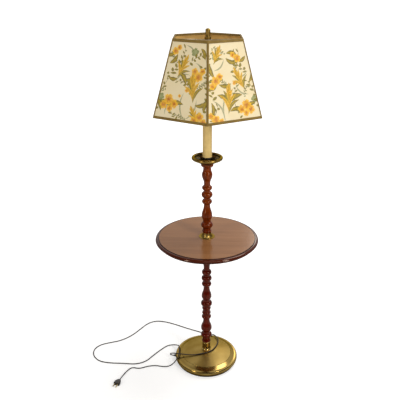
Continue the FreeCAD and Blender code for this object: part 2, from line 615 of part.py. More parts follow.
# ================================================================ pan and candle
def pan_cup():
    """Brass cup between the capital and the pan."""
    outline = Outline(ROD_HOLE_RADIUS, COLUMN_TOP_Z).out(CUP_FOOT_RADIUS)
    outline.arc(CUP_MOUTH_RADIUS, PAN_UNDER_Z, -CUP_SAG).out(ROD_HOLE_RADIUS)
    return outline.turned()


def drip_pan():
    """Shallow brass pan with a thick rolled rim."""
    roll_z = PAN_UNDER_Z + PAN_RIM_RISE
    under = Outline(ROD_HOLE_RADIUS, PAN_UNDER_Z).out(PAN_FLOOR_RADIUS)
    under.arc(PAN_RIM_RADIUS, roll_z, PAN_FLARE_SAG)
    under.line(PAN_RIM_RADIUS - PAN_WALL, roll_z)
    under.arc(PAN_FLOOR_RADIUS, SEAT_Z, -PAN_FLARE_SAG)
    under.out(ROD_HOLE_RADIUS)
    roll = Part.makeTorus(PAN_RIM_RADIUS, PAN_RIM_ROLL, AXIS * roll_z)
    return under.turned().fuse(roll).removeSplitter()


def candle_seat():
    """Stepped brass seat in the pan, under the candle."""
    outline = Outline(ROD_HOLE_RADIUS, SEAT_Z).out(SEAT_FOOT_RADIUS).up(SEAT_FOOT_HEIGHT)
    outline.arc(SEAT_TOP_RADIUS, RING_Z, -SEAT_SAG).out(ROD_HOLE_RADIUS)
    return outline.turned()


def candle_ring():
    return tube(RING_RADIUS, ROD_HOLE_RADIUS, RING_Z, SLEEVE_Z)


def candle_sleeve():
    return tube(SLEEVE_RADIUS, SLEEVE_RADIUS - SLEEVE_WALL, SLEEVE_Z, SLEEVE_TOP_Z)


def sleeve_cap():
    """Brass cap that closes the sleeve and centres it on the rod."""
    plug_radius = SLEEVE_RADIUS - SLEEVE_WALL - CAP_PLUG_CLEARANCE
    outline = Outline(ROD_HOLE_RADIUS, SLEEVE_TOP_Z - CAP_PLUG_DEPTH).out(plug_radius).up(CAP_PLUG_DEPTH)
    outline.out(CAP_RADIUS).line(CAP_RADIUS, SADDLE_Z - CAP_EDGE).line(CAP_RADIUS - CAP_EDGE, SADDLE_Z)
    outline.out(ROD_HOLE_RADIUS)
    return outline.turned()


# ================================================================ lamp holder
def harp_saddle():
    """Steel strap under the lamp holder with a tab turned up at each end for the harp."""
    half_length = TAB_INNER_X + SADDLE_THICKNESS
    strap = Part.makeBox(2 * half_length, SADDLE_WIDTH, SADDLE_THICKNESS,
                         Vector(-half_length, -SADDLE_WIDTH / 2, SADDLE_Z))
    for side in (-1, 1):
        inner_x = TAB_INNER_X if side > 0 else -half_length
        strap = strap.fuse(Part.makeBox(SADDLE_THICKNESS, SADDLE_TAB_WIDTH, SADDLE_TAB_HEIGHT,
                                        Vector(inner_x, -SADDLE_TAB_WIDTH / 2, HOLDER_Z)))
    hole = Part.makeCylinder(ROD_HOLE_RADIUS, SADDLE_THICKNESS, AXIS * SADDLE_Z)
    return strap.removeSplitter().cut(hole)


def socket_cap():
    """Lower cover of the lamp holder, screwed on the rod."""
    top = HOLDER_Z + SOCKET_CAP_HEIGHT
    outline = Outline(ROD_RADIUS + THREAD_CLEARANCE, HOLDER_Z).out(SOCKET_CAP_NECK_RADIUS)
    outline.up(SOCKET_CAP_NECK_HEIGHT)
    outline.arc(SOCKET_CAP_RADIUS, top - SOCKET_LAP, SOCKET_CAP_SAG)
    outline.line(SOCKET_CAP_RADIUS, top).out(SOCKET_CAP_RADIUS - SOCKET_CAP_WALL)
    outline.line(SOCKET_CAP_RADIUS - SOCKET_CAP_WALL, top - SOCKET_LAP)
    neck_top = HOLDER_Z + SOCKET_CAP_NECK_HEIGHT
    outline.arc(SOCKET_CAP_NECK_RADIUS, neck_top + SOCKET_CAP_WALL, -SOCKET_CAP_SAG)
    outline.out(ROD_RADIUS + THREAD_CLEARANCE)
    return outline.turned()


def key_hole(radius):
    """Room for the key's shaft, through the front of the lamp holder."""
    return rod(Vector(0, -KEY_SHAFT_START, KEY_Z), Vector(0, -KEY_REACH, KEY_Z), radius)


def socket_shell():
    """Brass cover of the lamp holder, pushed into its cap."""
    inner = SHELL_RADIUS - SOCKET_SHELL_WALL
    shell = tube(SHELL_RADIUS, inner, SHELL_Z, SHELL_Z + SOCKET_SHELL_HEIGHT)
    return shell.cut(key_hole(KEY_SHAFT_RADIUS + KEY_SHAFT_CLEARANCE))


def socket_liner():
    """Card tube that insulates the holder's body from its shell."""
    inner = LINER_RADIUS - SOCKET_LINER_WALL
    liner = tube(LINER_RADIUS, inner, SHELL_Z, SHELL_Z + SOCKET_SHELL_HEIGHT)
    return liner.cut(key_hole(KEY_SHAFT_RADIUS + KEY_SHAFT_CLEARANCE))


def socket_body():
    """Moulded block that holds the switch and the screw shell."""
    block = Part.makeCylinder(BODY_RADIUS, SOCKET_BODY_HEIGHT, AXIS * SHELL_Z)
    return block.cut(key_hole(KEY_SHAFT_RADIUS + SHAFT_FIT))


def socket_screw_shell():
    inner = SCREW_SHELL_RADIUS - SCREW_SHELL_WALL
    return tube(SCREW_SHELL_RADIUS, inner, SCREW_SHELL_Z, BULB_GLASS_Z - SCREW_SHELL_GAP)


def switch_key():
    """Turning key: a shaft into the body and a flat grip outside the shell."""
    grip_end = SHELL_RADIUS + KEY_GAP
    shaft = rod(Vector(0, -KEY_SHAFT_START, KEY_Z), Vector(0, -grip_end - KEY_GRIP_THICKNESS, KEY_Z),
                KEY_SHAFT_RADIUS)
    hub = rod(Vector(0, -grip_end, KEY_Z), Vector(0, -grip_end - KEY_GRIP_THICKNESS, KEY_Z),
              KEY_GRIP_RADIUS)
    blade = Part.makeBox(2 * KEY_GRIP_RADIUS, KEY_REACH - grip_end, KEY_GRIP_THICKNESS,
                         Vector(-KEY_GRIP_RADIUS, -KEY_REACH, KEY_Z - KEY_GRIP_THICKNESS / 2))
    return shaft.fuse(hub).fuse(blade).removeSplitter()


def lamp_wire():
    """Wires inside the lamp: from the bushing along the base, up the rod and into the lamp holder."""
    start = Vector(BUSHING_INNER_X, 0, EXIT_Z)
    bend_start = Vector(-WIRE_BEND_RADIUS, 0, EXIT_Z)
    bend_end = Vector(0, 0, EXIT_Z + WIRE_BEND_RADIUS)
    bend, heading = tangent_arc(bend_start, Vector(1, 0, 0), bend_end)
    edges = [Part.LineSegment(start, bend_start).toShape(), bend,
             Part.LineSegment(bend_end, AXIS * SHELL_Z).toShape()]
    return swept_circle(edges, start, Vector(1, 0, 0), WIRE_RADIUS)


def bulb_cap():
    """Screw cap of the bulb with its centre contact."""
    cap = Part.makeCylinder(BULB_CAP_RADIUS, BULB_CAP_HEIGHT, AXIS * BULB_CAP_Z)
    contact = Part.makeCylinder(BULB_CONTACT_RADIUS, BULB_CONTACT_HEIGHT,
                                AXIS * (BULB_CAP_Z - BULB_CONTACT_HEIGHT))
    return cap.fuse(contact)


def bulb_envelope(inset):
    """Pear-shaped body of the bulb, smaller all round by an inset."""
    outline = Outline(0.0, BULB_GLASS_Z).out(BULB_NECK_RADIUS - inset)
    outline.swell(BULB_RADIUS - inset, BULB_HEIGHT - BULB_RADIUS).dome(BULB_RADIUS - inset)
    return outline.turned()


def bulb_glass():
    """Hollow glass, open where the cap closes it."""
    return bulb_envelope(0.0).cut(bulb_envelope(BULB_WALL))


# ================================================================ harp and finial
def harp_side(side):
    """Edges of one leg of the harp, from its foot to the bridge."""
    foot = Vector(side * HARP_FOOT_X, 0, HOLDER_Z + HARP_FOOT_GAP)
    leg_top = Vector(side * HARP_FOOT_X, 0, SADDLE_Z + HARP_LEG_HEIGHT)
    bow = Vector(side * HARP_BOW_X, 0, SADDLE_Z + HARP_BOW_HEIGHT)
    bridge = Vector(side * HARP_BRIDGE_X, 0, SPIDER_Z - BLOCK_WIRE_DEPTH)
    across = HARP_BOW_X - HARP_BRIDGE_X
    rise = bridge.z - bow.z
    sine = math.sin(math.radians(HARP_SHOULDER_TURN))
    cosine = math.cos(math.radians(HARP_SHOULDER_TURN))
    lean_radius = (rise * cosine - across * (1 - sine)) / (sine + cosine - 1)
    shoulder = bow + Vector(-side * lean_radius * (1 - cosine), 0, lean_radius * sine)
    bend_out, heading = tangent_arc(leg_top, AXIS, (leg_top + bow) * 0.5)
    bend_back, heading = tangent_arc((leg_top + bow) * 0.5, heading, bow)
    lean, heading = tangent_arc(bow, heading, shoulder)
    crown, heading = tangent_arc(shoulder, heading, bridge)
    return [Part.LineSegment(foot, leg_top).toShape(), bend_out, bend_back, lean, crown]


def harp_wire():
    """Bowed wire that carries the shade over the bulb."""
    bridge_z = SPIDER_Z - BLOCK_WIRE_DEPTH
    bridge = Part.LineSegment(Vector(-HARP_BRIDGE_X, 0, bridge_z), Vector(HARP_BRIDGE_X, 0, bridge_z))
    edges = Part.__sortEdges__(harp_side(-1) + [bridge.toShape()] + harp_side(1))
    foot = Vector(-HARP_FOOT_X, 0, HOLDER_Z + HARP_FOOT_GAP)
    return swept_circle(edges, foot, AXIS, HARP_WIRE_RADIUS)


def harp_ferrule(side):
    """Sleeve that slides down over a leg and the saddle's tab and holds them together."""
    place = Vector(side * FERRULE_X, 0, HOLDER_Z + FERRULE_GAP)
    outer = Part.makeCylinder(FERRULE_BORE_RADIUS + FERRULE_WALL, FERRULE_LENGTH, place)
    return outer.cut(Part.makeCylinder(FERRULE_BORE_RADIUS, FERRULE_LENGTH, place))


def harp_stud():
    """Brass block on the bridge, with the threaded stud that takes the shade and the finial."""
    block = Part.makeCylinder(BLOCK_RADIUS, BLOCK_HEIGHT, AXIS * (SPIDER_Z - BLOCK_HEIGHT))
    stud = Part.makeCylinder(STUD_RADIUS, STUD_HEIGHT, AXIS * SPIDER_Z)
    bridge_z = SPIDER_Z - BLOCK_WIRE_DEPTH
    wire_hole = rod(Vector(-HARP_BRIDGE_X, 0, bridge_z), Vector(HARP_BRIDGE_X, 0, bridge_z),
                    HARP_WIRE_RADIUS + THREAD_CLEARANCE)
    return block.fuse(stud).cut(wire_hole)


def finial():
    """Brass finial: a nut that clamps the spider and a plain post with a domed top."""
    bottom = SPIDER_Z + SPIDER_WASHER_THICKNESS + FINIAL_GAP
    crown_z = bottom + FINIAL_HEIGHT
    bore_radius = STUD_RADIUS + FINIAL_BORE_CLEARANCE
    outline = Outline(0.0, bottom).out(FINIAL_NUT_RADIUS).up(FINIAL_NUT_HEIGHT)
    outline.out(FINIAL_WAIST_RADIUS).up(FINIAL_WAIST_HEIGHT).out(FINIAL_POST_RADIUS)
    outline.line(FINIAL_POST_RADIUS, crown_z - FINIAL_CROWN_HEIGHT)
    outline.dome(FINIAL_CROWN_HEIGHT)
    bore = Part.makeCylinder(bore_radius, SPIDER_Z + STUD_HEIGHT + FINIAL_GAP - bottom, AXIS * bottom)
    return outline.turned().cut(bore)


# ================================================================ shade
def corner_radius(height, depth):
    """Axis to corner of the shade at a height, for a surface that lies at a depth behind the outside."""
    share = (height - SHADE_BOTTOM_Z) / (SHADE_TOP_Z - SHADE_BOTTOM_Z)
    outside = SHADE_BOTTOM_RADIUS + share * (SHADE_TOP_RADIUS - SHADE_BOTTOM_RADIUS)
    return outside - depth / math.cos(SHADE_LEAN) / math.cos(math.pi / SHADE_SIDES)


def corner(index, height, depth=0.0):
    bearing = SHADE_FIRST_CORNER + index * 360.0 / SHADE_SIDES
    return polar(corner_radius(height, depth), bearing, height)


def frustum(depth):
    """Six-sided block with the shade's outer faces moved in by a depth."""
    rings = [Part.makePolygon([corner(index, height, depth) for index in range(SHADE_SIDES + 1)])
             for height in (SHADE_BOTTOM_Z, SHADE_TOP_Z)]
    return Part.makeLoft(rings, True, True)


def slab(bottom, top):
    """Everything between two heights."""
    return Part.makeBox(2 * SHADE_REACH, 2 * SHADE_REACH, top - bottom,
                        Vector(-SHADE_REACH, -SHADE_REACH, bottom))


def shade_panel(index):
    """One flat panel, mitred at its seams, behind the tape."""
    skin = frustum(TAPE_THICKNESS).cut(frustum(TAPE_THICKNESS + PANEL_THICKNESS))
    half_angle = 180.0 / SHADE_SIDES
    middle = SHADE_FIRST_CORNER + half_angle + index * 2 * half_angle
    apex = polar(PANEL_CLEARANCE / math.sin(math.radians(half_angle)), middle)
    points = [apex, apex + polar(SHADE_REACH, middle - half_angle),
              apex + polar(SHADE_REACH, middle + half_angle), apex]
    wedge = Part.Face(Part.makePolygon(points)).extrude(AXIS * (SHADE_TOP_Z + SHADE_REACH))
    return skin.common(wedge)


def tape_skin():
    return frustum(0.0).cut(frustum(TAPE_THICKNESS))


def band_height():
    """Height of the edge tapes, which lie on the leaning panels."""
    return TAPE_WIDTH * math.cos(SHADE_LEAN)


def shade_tape_top():
    return tape_skin().common(slab(SHADE_TOP_Z - band_height(), SHADE_TOP_Z))


def shade_tape_bottom():
    return tape_skin().common(slab(SHADE_BOTTOM_Z, SHADE_BOTTOM_Z + band_height()))


def shade_tape_seams():
    """Folded tape over each of the six seams."""
    between = tape_skin().common(slab(SHADE_BOTTOM_Z + band_height(), SHADE_TOP_Z - band_height()))
    half_width = TAPE_WIDTH / 2 * math.cos(math.pi / SHADE_SIDES)
    tapes = []
    for index in range(SHADE_SIDES):
        foot = corner(index, SHADE_BOTTOM_Z)
        seam = corner(index, SHADE_TOP_Z) - foot
        outward = Vector(foot.x, foot.y, 0).normalize()
        sideways = AXIS.cross(outward)
        points = [foot + outward * TAPE_WIDTH * a + sideways * half_width * b
                  for a, b in ((-1, -1), (1, -1), (1, 1), (-1, 1), (-1, -1))]
        track = Part.Face(Part.makePolygon(points)).extrude(seam)
        tapes.append(between.common(track))
    return Part.makeCompound(tapes)


def frame_depth():
    """Depth of the frame's wires behind the outside of the shade."""
    return TAPE_THICKNESS + PANEL_THICKNESS + FRAME_GAP + FRAME_WIRE_RADIUS


def shade_ring(height):
    """Six-sided wire ring inside the panels."""
    corners = [corner(index, height, frame_depth()) for index in range(SHADE_SIDES)]
    start = (corners[0] + corners[-1]) * 0.5
    path = Part.makePolygon([start] + corners + [start])
    section = Part.Wire([Part.Circle(start, corners[0] - corners[-1], FRAME_WIRE_RADIUS).toShape()])
    return path.makePipeShell([section], True, False, 1)


def rib_line(index):
    return (corner(index, SHADE_BOTTOM_Z + FRAME_WIRE_RADIUS, frame_depth()),
            corner(index, SHADE_TOP_Z - FRAME_WIRE_RADIUS, frame_depth()))


def shade_ribs():
    """Straight wire behind each seam, from the lower ring to the upper ring."""
    ribs = []
    for index in range(SHADE_SIDES):
        foot, head = rib_line(index)
        setback = (head - foot).normalize() * RIB_SETBACK
        ribs.append(rod(foot + setback, head - setback, FRAME_WIRE_RADIUS))
    return Part.makeCompound(ribs)


def spider_washer():
    """Washer that lies on the harp's block, under the finial."""
    return tube(SPIDER_WASHER_RADIUS, STUD_RADIUS + WASHER_HOLE_CLEARANCE, SPIDER_Z,
                SPIDER_Z + SPIDER_WASHER_THICKNESS)


def spider_arms():
    """Three arms from the washer's edge up to corners of the upper ring."""
    arms = []
    for arm in range(SPIDER_ARMS):
        head = rib_line(1 + arm * SHADE_SIDES // SPIDER_ARMS)[1]
        bearing = math.degrees(math.atan2(head.y, head.x))
        foot = polar(SPIDER_WASHER_RADIUS + ARM_BRAZE_GAP, bearing, SPIDER_Z + SPIDER_WASHER_THICKNESS / 2)
        setback = (head - foot).normalize() * ARM_SETBACK
        arms.append(rod(foot, head - setback, SPIDER_WIRE_RADIUS))
    return Part.makeCompound(arms)


# ================================================================ lead
def cord_bushing():
    """Tapered strain relief in the rim's hole, round the lead."""
    def at(x, radius):
        return Vector(x, radius, EXIT_Z)
    flange_x = -SHELL_RIM_RADIUS - BUSHING_RIM_GAP
    tip_x = BUSHING_INNER_X - BUSHING_LENGTH
    points = [at(BUSHING_INNER_X, 0), at(BUSHING_INNER_X, BUSHING_RADIUS), at(flange_x, BUSHING_RADIUS),
              at(flange_x, BUSHING_FLANGE_RADIUS),
              at(flange_x - BUSHING_FLANGE_THICKNESS, BUSHING_FLANGE_RADIUS),
              at(flange_x - BUSHING_FLANGE_THICKNESS, BUSHING_RADIUS), at(tip_x, BUSHING_TIP_RADIUS),
              at(tip_x, 0), at(BUSHING_INNER_X, 0)]
    return Part.Face(Part.makePolygon(points)).revolve(at(0, 0), Vector(1, 0, 0), 360)


def cord():
    """The free lead as one tube: straight runs joined by arcs as wide as the runs leave room for."""
    points = [Vector(*point) for point in CORD_ROUTE]
    edges = []
    radii = []
    here = points[0]
    for before, point, after in zip(points, points[1:], points[2:]):
        way_in = (point - before).normalize()
        way_out = (after - point).normalize()
        turn = way_in.getAngle(way_out)
        reach = ARC_SHARE * min((point - before).Length, (after - point).Length)
        radii.append(reach / math.tan(turn / 2))
        enter = point - way_in * reach
        leave = point + way_out * reach
        bisector = (way_out - way_in).normalize()
        middle = point + bisector * (radii[-1] / math.cos(turn / 2) - radii[-1])
        edges.append(Part.LineSegment(here, enter).toShape())
        edges.append(Part.Arc(enter, middle, leave).toShape())
        here = leave
    edges.append(Part.LineSegment(here, points[-1]).toShape())
    tube_shape = swept_circle(edges, points[0], points[1] - points[0], CORD_DIAMETER / 2)
    length = sum(edge.Length for edge in edges)
    expected = length * math.pi * CORD_DIAMETER ** 2 / 4
    print("cord length %.0f mm, volume %.0f of %.0f mm3" % (length, tube_shape.Volume, expected))
    print("cord radii", " ".join("%.0f" % radius for radius in radii))
    return tube_shape


def placed_on_lead(shape):
    """Moves a piece drawn along +X from the origin to the end of the lead, in line with its last run."""
    end = Vector(*CORD_ROUTE[-1])
    last_run = end - Vector(*CORD_ROUTE[-2])
    shape.rotate(Vector(0, 0, 0), AXIS, math.degrees(math.atan2(last_run.y, last_run.x)))
    shape.translate(end)
    return shape


def plug_body():
    """Moulded plug that widens from the lead to the blades."""
    def section(x, width, height):
        corners = [Vector(x, a * width / 2, b * height / 2)
                   for a, b in ((-1, -1), (1, -1), (1, 1), (-1, 1), (-1, -1))]
        return Part.makePolygon(corners)
    tail = Part.makeLoft([section(0.0, PLUG_TAIL_WIDTH, PLUG_TAIL_HEIGHT),
                          section(PLUG_SHOULDER_LENGTH, PLUG_WIDTH, PLUG_HEIGHT)], True, True)
    head = Part.makeBox(PLUG_LENGTH - PLUG_SHOULDER_LENGTH, PLUG_WIDTH, PLUG_HEIGHT,
                        Vector(PLUG_SHOULDER_LENGTH, -PLUG_WIDTH / 2, -PLUG_HEIGHT / 2))
    body = tail.fuse(head).removeSplitter()
    for blade in blades():
        body = body.cut(blade)
    return placed_on_lead(body)


def blades():
    """The two blades, drawn along +X from the origin, with their roots in the body."""
    start = PLUG_LENGTH - BLADE_ROOT
    return [Part.makeBox(BLADE_ROOT + BLADE_LENGTH, BLADE_THICKNESS, BLADE_WIDTH,
                         Vector(start, side * BLADE_SPACING / 2 - BLADE_THICKNESS / 2, -BLADE_WIDTH / 2))
            for side in (-1, 1)]


def plug_blades():
    return placed_on_lead(Part.makeCompound(blades()))


# ================================================================ all pieces
def pieces():
    """Name and shape of every piece."""
    yield "felt_pad", felt_pad()
    yield "base_weight", base_weight()
    yield "base_shell", base_shell()
    yield "base_neck", base_neck()
    yield "centre_rod", centre_rod()
    yield "foot_washer", foot_washer()
    yield "foot_nut", foot_nut()
    yield "lower_column", lower_column()
    yield "table_plate", table_plate()
    yield "table_screws", table_screws()
    yield "table_top", table_top()
    yield "table_collar", table_collar()
    yield "upper_column", upper_column()
    yield "pan_cup", pan_cup()
    yield "drip_pan", drip_pan()
    yield "candle_seat", candle_seat()
    yield "candle_ring", candle_ring()
    yield "candle_sleeve", candle_sleeve()
    yield "sleeve_cap", sleeve_cap()
    yield "harp_saddle", harp_saddle()
    yield "socket_cap", socket_cap()
    yield "socket_shell", socket_shell()
    yield "socket_liner", socket_liner()
    yield "socket_body", socket_body()
    yield "socket_screw_shell", socket_screw_shell()
    yield "switch_key", switch_key()
    yield "lamp_wire", lamp_wire()
    yield "bulb_cap", bulb_cap()
    yield "bulb_glass", bulb_glass()
    yield "harp_wire", harp_wire()
    yield "harp_ferrule_left", harp_ferrule(-1)
    yield "harp_ferrule_right", harp_ferrule(1)
    yield "harp_stud", harp_stud()
    yield "finial", finial()
    for index in range(SHADE_SIDES):
        yield "shade_panel_%d" % (index + 1), shade_panel(index)
    yield "shade_tape_top", shade_tape_top()
    yield "shade_tape_bottom", shade_tape_bottom()
    yield "shade_tape_seams", shade_tape_seams()
    yield "shade_ring_top", shade_ring(SHADE_TOP_Z - FRAME_WIRE_RADIUS)
    yield "shade_ring_bottom", shade_ring(SHADE_BOTTOM_Z + FRAME_WIRE_RADIUS)
    yield "shade_ribs", shade_ribs()
    yield "shade_spider_washer", spider_washer()
    yield "shade_spider_arms", spider_arms()
    yield "cord_bushing", cord_bushing()
    yield "cord", cord()
    yield "plug_body", plug_body()
    yield "plug_blades", plug_blades()


def main():
    os.makedirs("parts", exist_ok=True)
    for name, shape in pieces():
        if not shape.isValid() or shape.Volume <= 0:
            raise ValueError("%s has no sound solid" % name)
        shape.exportStep("parts/%s.step" % name)
        print("%-20s %2d solid(s) %10.0f mm3" % (name, len(shape.Solids), shape.Volume))


if __name__ == "__main__":
    main()
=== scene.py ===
"""Looks of a floor lamp with a table: turned wood, aged brass, a candle tube and a six-sided floral shade.

Metres, +Z up. The origin is on the floor at the centre of the base, and one corner of the shade faces -Y.
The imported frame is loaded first, and every piece is made where the frame's node of that piece lies.
"""

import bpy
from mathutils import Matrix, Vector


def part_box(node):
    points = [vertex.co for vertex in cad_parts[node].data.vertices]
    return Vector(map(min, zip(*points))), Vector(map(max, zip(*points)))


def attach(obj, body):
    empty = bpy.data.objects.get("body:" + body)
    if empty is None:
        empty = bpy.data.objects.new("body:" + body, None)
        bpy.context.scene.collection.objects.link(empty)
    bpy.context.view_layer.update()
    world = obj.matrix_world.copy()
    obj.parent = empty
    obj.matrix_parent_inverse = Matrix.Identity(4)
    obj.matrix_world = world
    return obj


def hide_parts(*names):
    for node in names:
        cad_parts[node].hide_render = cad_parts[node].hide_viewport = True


bl_info = {
    "name": "Floor Lamp With Table",
    "version": (1, 0, 0),
    "blender": (4, 5, 0),
    "location": "View3D > Sidebar > Lamp",
    "description": "Builds the looks of a brass and turned wood floor lamp that carries a round table",
    "category": "Object",
}

import math

import bmesh
import bpy
from mathutils import Matrix, Vector

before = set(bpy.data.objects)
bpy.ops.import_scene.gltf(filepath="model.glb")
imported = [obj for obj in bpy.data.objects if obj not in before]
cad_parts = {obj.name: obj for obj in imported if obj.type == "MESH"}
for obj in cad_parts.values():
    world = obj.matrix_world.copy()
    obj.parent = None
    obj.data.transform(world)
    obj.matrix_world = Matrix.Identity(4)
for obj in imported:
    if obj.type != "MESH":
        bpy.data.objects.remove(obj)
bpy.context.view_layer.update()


def bottom_of(node):
    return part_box(node)[0].z


def top_of(node):
    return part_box(node)[1].z


def context_sizes(group):
    return getattr(bpy.context.scene, group)


# ---------------------------------------------------------------- sizes shared by several pieces
TURNING_STEPS = 120          # faces round a turned piece
ROD_HOLE = 0.0053            # radius of the bore that runs through the lamp
THIN_WALL = 0.001            # spun brass
SIDES = 6
FIRST_CORNER = math.radians(-90)
TAPE_THICKNESS = 0.0008
PANEL_THICKNESS = 0.001
LEAD_RADIUS = 0.0022
EXIT_HEIGHT = 0.012          # of the lead's hole in the rim
EASE = 0.0004                # eased edge of a turned piece
FINE_EASE = 0.0003           # the same on thin walls
STEP_LEAN = 0.0008           # how far the step round the base's dome leans out
STEP_EASE = 0.0006           # drop of that step's eased edge
NECK_HOLLOW = 0.0018         # how far the base's neck curves in over its foot
COLLAR_HOLLOW = 0.0014       # how far the table's collar curves in
CUP_HOLLOW = 0.001           # how far the pan's cup and the candle's seat curve in
FIELD_EASE_DROP = 0.0005     # of the edge of the table's field
FIELD_EASE_WIDTH = 0.0006
ROLL_MEET = 0.6              # share of the roll's radius at which the pan's wall meets it
ROLL_RISE = 0.8              # and how far above and below its centre

# Candle sleeve, its ring and its cap.
RING_EDGE = 0.0178
RING_BELLY = 0.0184
SLEEVE_BORE = 0.0158
SLEEVE_RADIUS = 0.017
CAP_PLUG_RADIUS = 0.0156
CAP_PLUG_DEPTH = 0.005
CAP_RADIUS = 0.018
CAP_EASE = 0.0015

# Bushing and plug. A section of the plug is (place along it, width, height).
BUSHING_RADIUS = 0.0042
BUSHING_GAP = 0.0002         # between the rim and the flange
FLANGE_EDGE = 0.0056
FLANGE_RADIUS = 0.0060
FLANGE_THICKNESS = 0.0020
RIBS = 3
RIB_RADIUS = 0.0044
RIB_TAPER = 0.0011           # from the first rib to the last
RIB_DEPTH = 0.0005
RIB_SHARE = 0.6              # of the pitch
PLUG_SECTIONS = ((0.0, 0.012, 0.009), (0.004, 0.0145, 0.0102), (0.008, 0.018, 0.0115),
                 (0.012, 0.0215, 0.0128), (0.016, 0.024, 0.014), (0.027, 0.024, 0.014))
ROUNDING = 0.0022            # of the plug's edges and the blades' tips
BLADE_SIZE = (0.021, 0.0015, 0.0063)
BLADE_START = 0.023
BLADE_ASIDE = 0.00635
BLADE_TIP = 0.04             # a blade's vertices past this are at its tip
SAME_PLACE = 0.001           # two vertices nearer than this are level

# Route of the lead from the bushing's tip to the plug, in metres: a close turn up over the rim, over
# the dome in front of the neck, off it behind, out to the left on the floor and back over the rim.
LEAD_ROUTE = (
    (-0.1392, 0.000, 0.012), (-0.146, 0.000, 0.0125), (-0.152, -0.002, 0.017), (-0.154, -0.0065, 0.0245),
    (-0.149, -0.012, 0.032), (-0.138, -0.018, 0.0375), (-0.121, -0.026, 0.041), (-0.102, -0.0315, 0.0435),
    (-0.084, -0.0375, 0.0455), (-0.062, -0.041, 0.0465), (-0.038, -0.040, 0.0485), (-0.015, -0.036, 0.0515),
    (0.008, -0.030, 0.0535), (0.0275, -0.015, 0.0535), (0.039, 0.007, 0.052), (0.048, 0.031, 0.0495),
    (0.052, 0.0555, 0.0475), (0.049, 0.080, 0.0445), (0.040, 0.102, 0.0395), (0.0295, 0.120, 0.034),
    (0.017, 0.136, 0.020), (-0.0005, 0.160, 0.0065), (-0.027, 0.1795, 0.0022), (-0.058, 0.193, 0.0022),
    (-0.098, 0.212, 0.0022), (-0.148, 0.239, 0.0022), (-0.196, 0.259, 0.0022), (-0.239, 0.264, 0.0022),
    (-0.275, 0.245, 0.0022), (-0.305, 0.198, 0.0022), (-0.339, 0.148, 0.0022), (-0.383, 0.111, 0.0022),
    (-0.432, 0.095, 0.0022), (-0.470, 0.080, 0.0022), (-0.492, 0.047, 0.0022), (-0.487, 0.005, 0.0022),
    (-0.456, -0.031, 0.0022), (-0.408, -0.0425, 0.0022), (-0.352, -0.0435, 0.0022),
    (-0.295, -0.049, 0.0022), (-0.254, -0.029, 0.0022), (-0.229, 0.009, 0.0022), (-0.199, 0.049, 0.0022),
    (-0.171, 0.080, 0.0022), (-0.146, 0.082, 0.0045), (-0.128, 0.065, 0.016), (-0.1185, 0.0415, 0.0305),
    (-0.1155, 0.0215, 0.033), (-0.115, 0.001, 0.034), (-0.1155, -0.020, 0.0335), (-0.118, -0.036, 0.032),
    (-0.125, -0.0485, 0.027), (-0.137, -0.0575, 0.015), (-0.155, -0.064, 0.005), (-0.1825, -0.0625, 0.0022),
    (-0.213, -0.055, 0.0022), (-0.245, -0.0605, 0.0022), (-0.279, -0.077, 0.0022),
    (-0.311, -0.0675, 0.0022), (-0.327, -0.092, 0.0035), (-0.3385, -0.1215, 0.007),
    (-0.3495, -0.151, 0.007),
)

# ---------------------------------------------------------------- the photograph's view
PHOTO_SIZE = 400             # pixels, both ways
FOCAL_PIXELS = 552.0
SENSOR_WIDTH = 36.0          # millimetres
CAMERA_PLACE = (0.0, -1.930, 1.533)
CAMERA_TILT = math.radians(67.49)
CAMERA_TURN = math.radians(0.79)

# ---------------------------------------------------------------- light
# (name, place, what it points at, width and height, watts, tint)
STUDIO_LIGHTS = (
    ("key light", (1.9, -2.1, 2.1), (0.0, 0.0, 0.75), (0.60, 1.5), 44.0, (1.0, 0.97, 0.92)),
    ("fill light", (-2.0, -2.2, 1.6), (0.0, 0.0, 0.7), (0.35, 1.5), 19.0, (1.0, 0.92, 0.80)),
    ("front light", (0.6, -2.5, 3.0), (0.0, 0.0, 0.6), (2.0, 0.45), 16.0, (1.0, 0.97, 0.92)),
    ("back light", (0.62, 2.05, 1.62), (0.0, 0.0, 0.1), (0.5, 0.4), 2.6, (1.0, 0.95, 0.86)),
    ("top light", (1.1, 0.7, 3.0), (0.0, 0.0, 0.5), (1.4, 1.4), 36.0, (1.0, 0.98, 0.96)),
)
FLOOR_REACH = 40.0           # size given to the floor's grid
FLOOR_DROP = 0.0002          # of the floor below the felt
FLOOR_GREY = 0.66
FLOOR_IN_GLOSS = 0.15        # share of the floor's white that gloss shows
ROOM_LIGHT = 0.34            # the world on matt surfaces
ROOM_IN_GLOSS = 0.12         # the world in gloss, where it is darkest
LATHE_RINGS = 5200.0         # radians a metre
TAPE_RIBS = 4200.0           # radians a metre


def length(name, default, description):
    return bpy.props.FloatProperty(name=name, default=default, description=description, min=0.0,
                                   precision=4, unit="LENGTH", subtype="DISTANCE")


def share(name, default, description):
    return bpy.props.FloatProperty(name=name, default=default, description=description, min=0.0,
                                   max=1.0, subtype="FACTOR")


def colour(name, default, description):
    return bpy.props.FloatVectorProperty(name=name, default=default, description=description, size=3,
                                         min=0.0, max=1.0, subtype="COLOR")


